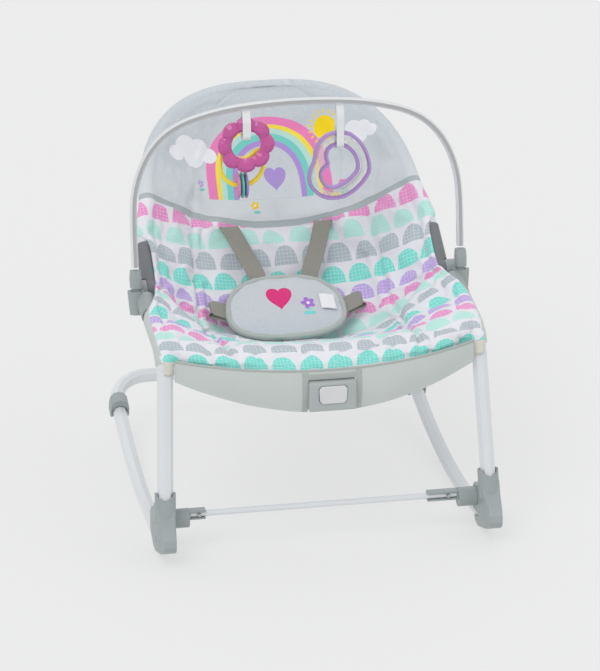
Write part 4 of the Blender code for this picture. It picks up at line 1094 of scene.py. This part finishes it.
def pad_outline(i, sides, share=1.0):
    """Point i of the pad's rounded outline, wider below than above."""
    turn = 2 * math.pi * i / sides
    c, s = math.cos(turn), math.sin(turn)
    x = PAD_HALF * math.copysign(abs(c) ** 0.76, c)
    y = (PAD_UP if s > 0 else PAD_DOWN) * math.copysign(abs(s) ** 0.84, s)
    x *= 1 - 0.055 * y / 0.05
    return x * share, y * share


def pad_crown(x, y, share):
    """Height of the pad's face: a soft dome with a few pulls from the binding."""
    dome = PAD_DOME * (1 - share ** 2.6)
    pull = math.sin(math.atan2(y, x) * 11 + 1.2 * math.sin(x * 60)) * 0.0007 * share ** 3
    dent = 0.0012 * math.sin(x * 70 + 1.4) * math.sin(y * 95 + 0.5) * (1 - share)
    return PAD_RIM + dome + pull + dent


def make_pad_cushion():
    """The pad's face and back; the print lies on the face only."""
    face = [((k / FACE_RINGS) ** 0.9, True) for k in range(1, FACE_RINGS + 1)]
    back = [(k / BACK_RINGS, False) for k in range(BACK_RINGS, 0, -1)]
    rows, spots = [], []
    for share, upper in face + back:
        ring = [pad_outline(i, PAD_SIDES, share) for i in range(PAD_SIDES)]
        if upper:
            rows.append([pad_place(x, y, pad_crown(x, y, share)) for x, y in ring])
            spots.append(ring)
        else:
            depth = PAD_BACK + PAD_BACK * (1 - share ** 3)
            rows.append([pad_place(x, y, -depth) for x, y in ring])
            spots.append([(x + 0.3, y + 0.3) for x, y in ring])
    pad = surface("crotch_pad_cushion", rows, PAD, wrap=True, caps=True,
                  spot=lambda k, i: spots[k][i % PAD_SIDES])
    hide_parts("crotch_pad")
    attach(pad, "frame")


def make_pad_binding():
    """The tape round the pad's edge, slightly uneven in thickness."""
    path = [pad_place(*pad_outline(i, BINDING_SIDES, 0.985), 0.0016) for i in range(BINDING_SIDES)]
    shape = rounded_ring(BINDING_HALF, 0.7, BINDING_DEEP, 0.8, 16)
    rows = []
    for k, place in enumerate(path):
        along = (path[(k + 1) % BINDING_SIDES] - path[k - 1]).normalized()
        out = along.cross(PAD_Z).normalized()
        wave = 1 + 0.05 * math.sin(k * 1.9) + 0.04 * math.sin(k * 0.83 + 1)
        rows.append([place + out * a * wave + PAD_Z * b * wave for a, b in shape])
    tape = surface("crotch_pad_binding", rows, BINDING, wrap=True, loop=True)
    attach(tape, "frame")


def make_pad_label():
    """The blank label sewn on the pad, a little askew."""
    rows = []
    for k in range(13):
        y = LABEL_TOP - LABEL_HEIGHT * k / 12
        height = pad_crown(LABEL_MIDDLE, y, LABEL_MIDDLE / 0.086) + 0.0012
        rows.append([pad_place(LABEL_LEFT + LABEL_WIDTH * i / 10 + 0.03 * (0.01 - y),
                               y - 0.10 * LABEL_WIDTH * i / 10,
                               height + 0.0009 * math.sin(i * 0.5)) for i in range(11)])
    label = thin_sheet("crotch_pad_label", rows, 0.0008, LABEL)
    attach(label, "frame")


def make_pad_tail():
    """The broad strap from under the pad to the seat."""
    path = [at(*place) for place in TAIL_PATH]
    tail = ribbon("crotch_pad_tail", path, (1, 0, 0), 0.046, 0.0030, PAD_CLOTH)
    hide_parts("crotch_strap")
    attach(tail, "frame")


# ---- harness webbing ----------------------------------------------------
STRAP_WIDTH, STRAP_THICKNESS = 0.0245, 0.0016
# Each strap's path as (x, y, z), with x outwards; the shoulder straps also give how far each point
# hangs to the left.
SHOULDER_PATH = ((0.0700, 0.005, 0.3965, 0.3425), (0.0690, 0.005, 0.3920, 0.3480),
                 (0.0660, 0.006, 0.3830, 0.3500), (0.0530, 0.007, 0.3490, 0.3280),
                 (0.0400, 0.009, 0.3200, 0.3075), (0.0370, 0.010, 0.3100, 0.2990),
                 (0.0350, 0.010, 0.2990, 0.2925))
WAIST_PATH = ((0.0740, 0.2600, 0.2672), (0.0860, 0.2640, 0.2700), (0.0980, 0.2685, 0.2730),
              (0.1060, 0.2715, 0.2752), (0.1108, 0.2730, 0.2750), (0.1126, 0.2736, 0.2727),
              (0.1108, 0.2730, 0.2703), (0.1040, 0.2706, 0.2694), (0.0950, 0.2668, 0.2672),
              (0.0870, 0.2632, 0.2648))


def make_straps():
    """Shoulder and waist webbing."""
    for side, label in ((-1, "left"), (1, "right")):
        path = [at(side * x - left, y, z) for x, left, y, z in SHOULDER_PATH]
        strap = ribbon(f"{label}_shoulder_webbing", path, (1, side * 0.20, 0), STRAP_WIDTH,
                       STRAP_THICKNESS, WEBBING)
        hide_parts(f"{label}_shoulder_strap")
        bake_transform(strap)
        path = [at(side * (x - 0.005) - 0.013, y, z) for x, y, z in WAIST_PATH]
        strap = ribbon(f"{label}_waist_webbing", path, (0, 0.85, 0.53), STRAP_WIDTH,
                       STRAP_THICKNESS, WEBBING)
        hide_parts(f"{label}_waist_strap")
        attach(strap, "frame")


# ---- front skirt --------------------------------------------------------
SKIRT_TOP, SKIRT_TOP_RISE = 0.2725, 0.0095      # height at the middle, and the rise to the sides
SKIRT_LOW, SKIRT_LOW_RISE = 0.2110, 0.0430
SKIRT_HALF = 0.2075
SKIRT_FRONT, SKIRT_BOW = 0.0195, 0.0450         # y at the middle, and how far the sides lie back
SKIRT_BELLY = 0.0045                            # how far the cloth swells forward between its edges
SKIRT_THICKNESS = 0.0016
WINDOW_HALF, WINDOW_TOP = 0.0345, 0.2600        # the opening round the soothing unit
TRIM_THICKNESS = 0.0026
TAB_RADIUS = 0.0132                             # the corner tabs' roll round the side tube


def skirt_edges(x):
    """Share of the way to the side, and the heights of the top seam and the hem there."""
    u = min(1.0, abs(x) / SKIRT_HALF)
    return u, SKIRT_TOP + SKIRT_TOP_RISE * u ** 2, SKIRT_LOW + SKIRT_LOW_RISE * u ** 1.8


def skirt_point(x, t, lift=0.0):
    """A point of the skirt: x across, t from the top seam to the hem."""
    u, top, low = skirt_edges(x)
    y = SKIRT_FRONT + SKIRT_BOW * u ** 2.2 - SKIRT_BELLY * math.sin(math.pi * t) * (1 - u ** 3)
    y += 0.0035 * t * (1 - u) - 0.0007 * math.sin(x * 95) * t * (1 - 0.4 * t)
    return at(x, y - lift, top + (low - top) * t)


def skirt_share(x, z):
    """How far down the skirt a height lies."""
    _, top, low = skirt_edges(x)
    return (top - z) / (top - low)


def skirt_panels():
    """Rows of points of the skirt left and right of the window, and of the bridge above it."""
    panels = []
    for first, last in ((-SKIRT_HALF, -WINDOW_HALF), (WINDOW_HALF, SKIRT_HALF)):
        columns = np.linspace(first, last, 64)
        panels.append([[skirt_point(x, t) for x in columns] for t in np.linspace(0, 1, 17)])
    heights = [SKIRT_TOP + (WINDOW_TOP - SKIRT_TOP) * k / 4 for k in range(5)]
    columns = np.linspace(-WINDOW_HALF, WINDOW_HALF, 21)
    panels.append([[skirt_point(x, skirt_share(x, z)) for x in columns] for z in heights])
    return panels


def make_skirt_cloth():
    """The band under the front seam, as one piece of cloth."""
    parts = [thin_sheet(f"skirt_{label}", rows, SKIRT_THICKNESS, SKIRT)
             for label, rows in zip(("left", "right", "bridge"), skirt_panels())]
    merged = bmesh.new()
    for part in parts:
        merged.from_mesh(part.data)
    data = bpy.data.meshes.new("front_skirt_cloth")
    bmesh.ops.remove_doubles(merged, verts=merged.verts, dist=0.00002)
    merged.to_mesh(data)
    merged.free()
    for polygon in data.polygons:
        polygon.use_smooth = True
    for part in parts:
        bpy.data.objects.remove(part)
    skirt = adopt(bpy.data.objects.new("front_skirt_cloth", data), SKIRT)
    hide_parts("front_skirt")
    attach(skirt, "frame")
    return skirt


def make_corner_tab(side, label):
    """The tab that holds a corner of the skirt to the side tube."""
    turns = np.linspace(-0.35, 0.9, 12)
    rows = [[at(side * (LEG_TOP_X - TAB_RADIUS * math.sin(a)), 0.0805 - TAB_RADIUS * math.cos(a),
                0.2610 + 0.0185 * k / 6 - 0.002 * math.sin(a)) for a in turns] for k in range(7)]
    return thin_sheet(f"corner_tab_{label}", rows, 0.0012, CREAM)


def make_skirt():
    """The skirt with its window binding, corner tabs, seam tape and hem."""
    skirt = make_skirt_cloth()
    trims = []
    for side, label in ((-1, "left"), (1, "right")):
        path = [skirt_point(side * (WINDOW_HALF + 0.0025), t, 0.0012) for t in np.linspace(0.05, 1.0, 10)]
        trims.append(ribbon(f"window_binding_{label}", path, (1, 0, 0), 0.0085, 0.0024, BINDING, 4))
        trims.append(make_corner_tab(side, label))
    path = [skirt_point(x, skirt_share(x, WINDOW_TOP + 0.0035), 0.0012)
            for x in np.linspace(-WINDOW_HALF - 0.006, WINDOW_HALF + 0.006, 9)]
    trims.append(ribbon("window_binding_top", path, (0, 0, 1), 0.0080, 0.0024, BINDING, 4))
    path = [skirt_point(x, 0.005, 0.0010) for x in np.linspace(-SKIRT_HALF, SKIRT_HALF, 41)]
    trims.append(ribbon("front_seam_tape", path, (0, 0, 1), 0.0034, TRIM_THICKNESS, BINDING, 3))
    for side, label in ((-1, "left"), (1, "right")):
        path = [skirt_point(side * x, 0.975, 0.0005) for x in np.linspace(WINDOW_HALF, SKIRT_HALF, 24)]
        trims.append(ribbon(f"skirt_hem_{label}", path, (0, 0, 1), 0.0050, TRIM_THICKNESS, SKIRT, 3))
    for trim in trims:
        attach(trim, "frame")


# ---- toy tapes ----------------------------------------------------------
TAPES = (("flower_tape", -0.068, 0.564, 0.0390, 0.0115, "flower_toy"),
         ("heart_tape", 0.064, 0.566, 0.0615, 0.0105, "heart_toy"))     # name, x, z, drop, width, body
TAPE_RADIUS = 0.0078           # half the distance between the two sides of a loop
TAPE_SPREAD = 0.0200           # distance below the bar where its sides run straight down
TAPE_THICKNESS = 0.0012
BAR_FOOT = (0.2475, 0.322)     # (y, z) of the toy bar at its plugs


def bar_point(x, z):
    """A point of the leaning plane that the toy bar lies in."""
    y, foot = BAR_FOOT
    return at(x, y + BAR_LEAN * (z - foot), z)


def make_toy_tapes():
    """Tape loops sewn under the toy bar, round the top of each toy."""
    for name, x, z, drop, width, body in TAPES:
        straight = [TAPE_SPREAD + (drop - TAPE_SPREAD) * k / 3 for k in range(4)]
        front = [(-0.0012, 0.0020), (-0.0042, 0.0100)] + [(-TAPE_RADIUS, down) for down in straight]
        turns = [math.pi * k / 9 for k in range(1, 9)]
        bend = [(-TAPE_RADIUS * math.cos(a), drop + TAPE_RADIUS * math.sin(a)) for a in turns]
        outline = front + bend + [(-y, down) for y, down in reversed(front)]
        path = [bar_point(x, z) + Vector((0, y, -down)) for y, down in outline]
        tape = ribbon(name, path, (1, 0, 0), width, TAPE_THICKNESS, TOY_TAPE, 4)
        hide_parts(name.replace("tape", "strap"))
        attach(tape, body)


make_cover()
make_pad_cushion()
make_pad_binding()
make_pad_label()
make_pad_tail()
make_straps()
make_skirt()
make_toy_tapes()


# ---- looks of the carried-over parts ------------------------------------
def bar_material():
    """Toy bar, with painted shade where it faces forward and painted light round its top and edges."""
    g = Graph("bar_painted_light_and_shade")
    _, backwards, _ = g.split(g.node("ShaderNodeNewGeometry", output="Normal"))
    facing = (backwards * -1.0).most(0.0)
    grain = g.noise(g.solid_place(), 900.0, 3.0)
    # Painted shade on the side facing forward and painted light on the other faces, chosen by the
    # surface's direction.
    colour = g.mix(facing.below(0.80, 0.10), tone(176, 177, 177), tone(226, 228, 229))
    g.bump(grain, 0.10, 0.0002)
    g.feed(g.shader, [("Metallic", 0.25)])
    return g.finish(colour, 0.30 + grain * 0.06, 0.0, 0.5)


def disc_material(name, colour, bumps):
    """Toy disc with bumps and painted shade in the hollows between them."""
    g = Graph(name)
    grain = g.noise(g.solid_place(), bumps, 1.0)
    g.bump(grain, 0.5, 0.0012)
    # Painted shade: darker where the bump is low, between the bumps.
    shade = g.clamp((grain - 0.35) * 3.0)
    return g.finish(g.mix(shade, shaded(colour, 0.80), colour), 0.32, 0.0, 0.5)


def both(names):
    """The left and the right one of each name."""
    return " ".join(f"{side}_{name}" for name in names.split() for side in ("left", "right"))


LOOKS = (
    (paint_material("white_powder_coat", tone(222, 225, 227)),
     both("side_tube") + " base_tube front_cross_tube backrest_tube"),
    (bar_material(), "toy_bar"),
    (plastic_material("grey_plastic", tone(158, 166, 166), 0.42),
     both("foot cross_bracket hub kickstand bar_plug")),
    (plastic_material("unit_plastic", tone(174, 180, 179), 0.42),
     "unit_front_cover unit_back_box battery_door"),
    (plastic_material("dark_plastic", tone(118, 120, 124), 0.42),
     both("recline_arm recline_button") + " harness_buckle"),
    (metal_material("bright_metal", tone(190, 190, 188)),
     both("foot_screw cross_tube_screw pivot_bolt") + " vibration_motor motor_weight"),
    (plastic_material("milky_cap", tone(214, 215, 215), 0.30, 0.35), "power_button"),
    (plastic_material("circuit_lacquer", (0.05, 0.25, 0.10), 0.3), "circuit_board"),
    (plastic_material("battery_sleeve", (0.08, 0.08, 0.10), 0.25), "battery_cell"),
    (plastic_material("magenta_gloss", tone(198, 84, 154), 0.24, 0.05, 0.5, 0.35), "flower_teether"),
    (plastic_material("yellow_gloss", tone(255, 230, 62), 0.28, 0.05, 0.5, 0.2),
     "link_ring bead_3 bead_4"),
    (disc_material("pink_relief", tone(226, 142, 200), 700.0), "pink_disc"),
    (disc_material("teal_relief", tone(92, 216, 186), 520.0), "teal_disc"),
    (disc_material("purple_relief", tone(168, 138, 204), 160.0), "purple_disc"),
    (plastic_material("lilac_gloss", tone(174, 140, 200), 0.24, 0.05, 0.5, 0.45),
     "heart_outer_rim heart_inner_rim"),
    (clear_material("clear_shell"), "heart_channel"),
    (plastic_material("pink_bead", tone(240, 180, 196), 0.3), "bead_1 bead_2"),
    (plastic_material("mint_bead", tone(166, 226, 203), 0.3), "bead_5 bead_6"),
)
for look, names in LOOKS:
    for name in names.split():
        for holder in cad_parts[name].material_slots:
            holder.material = look
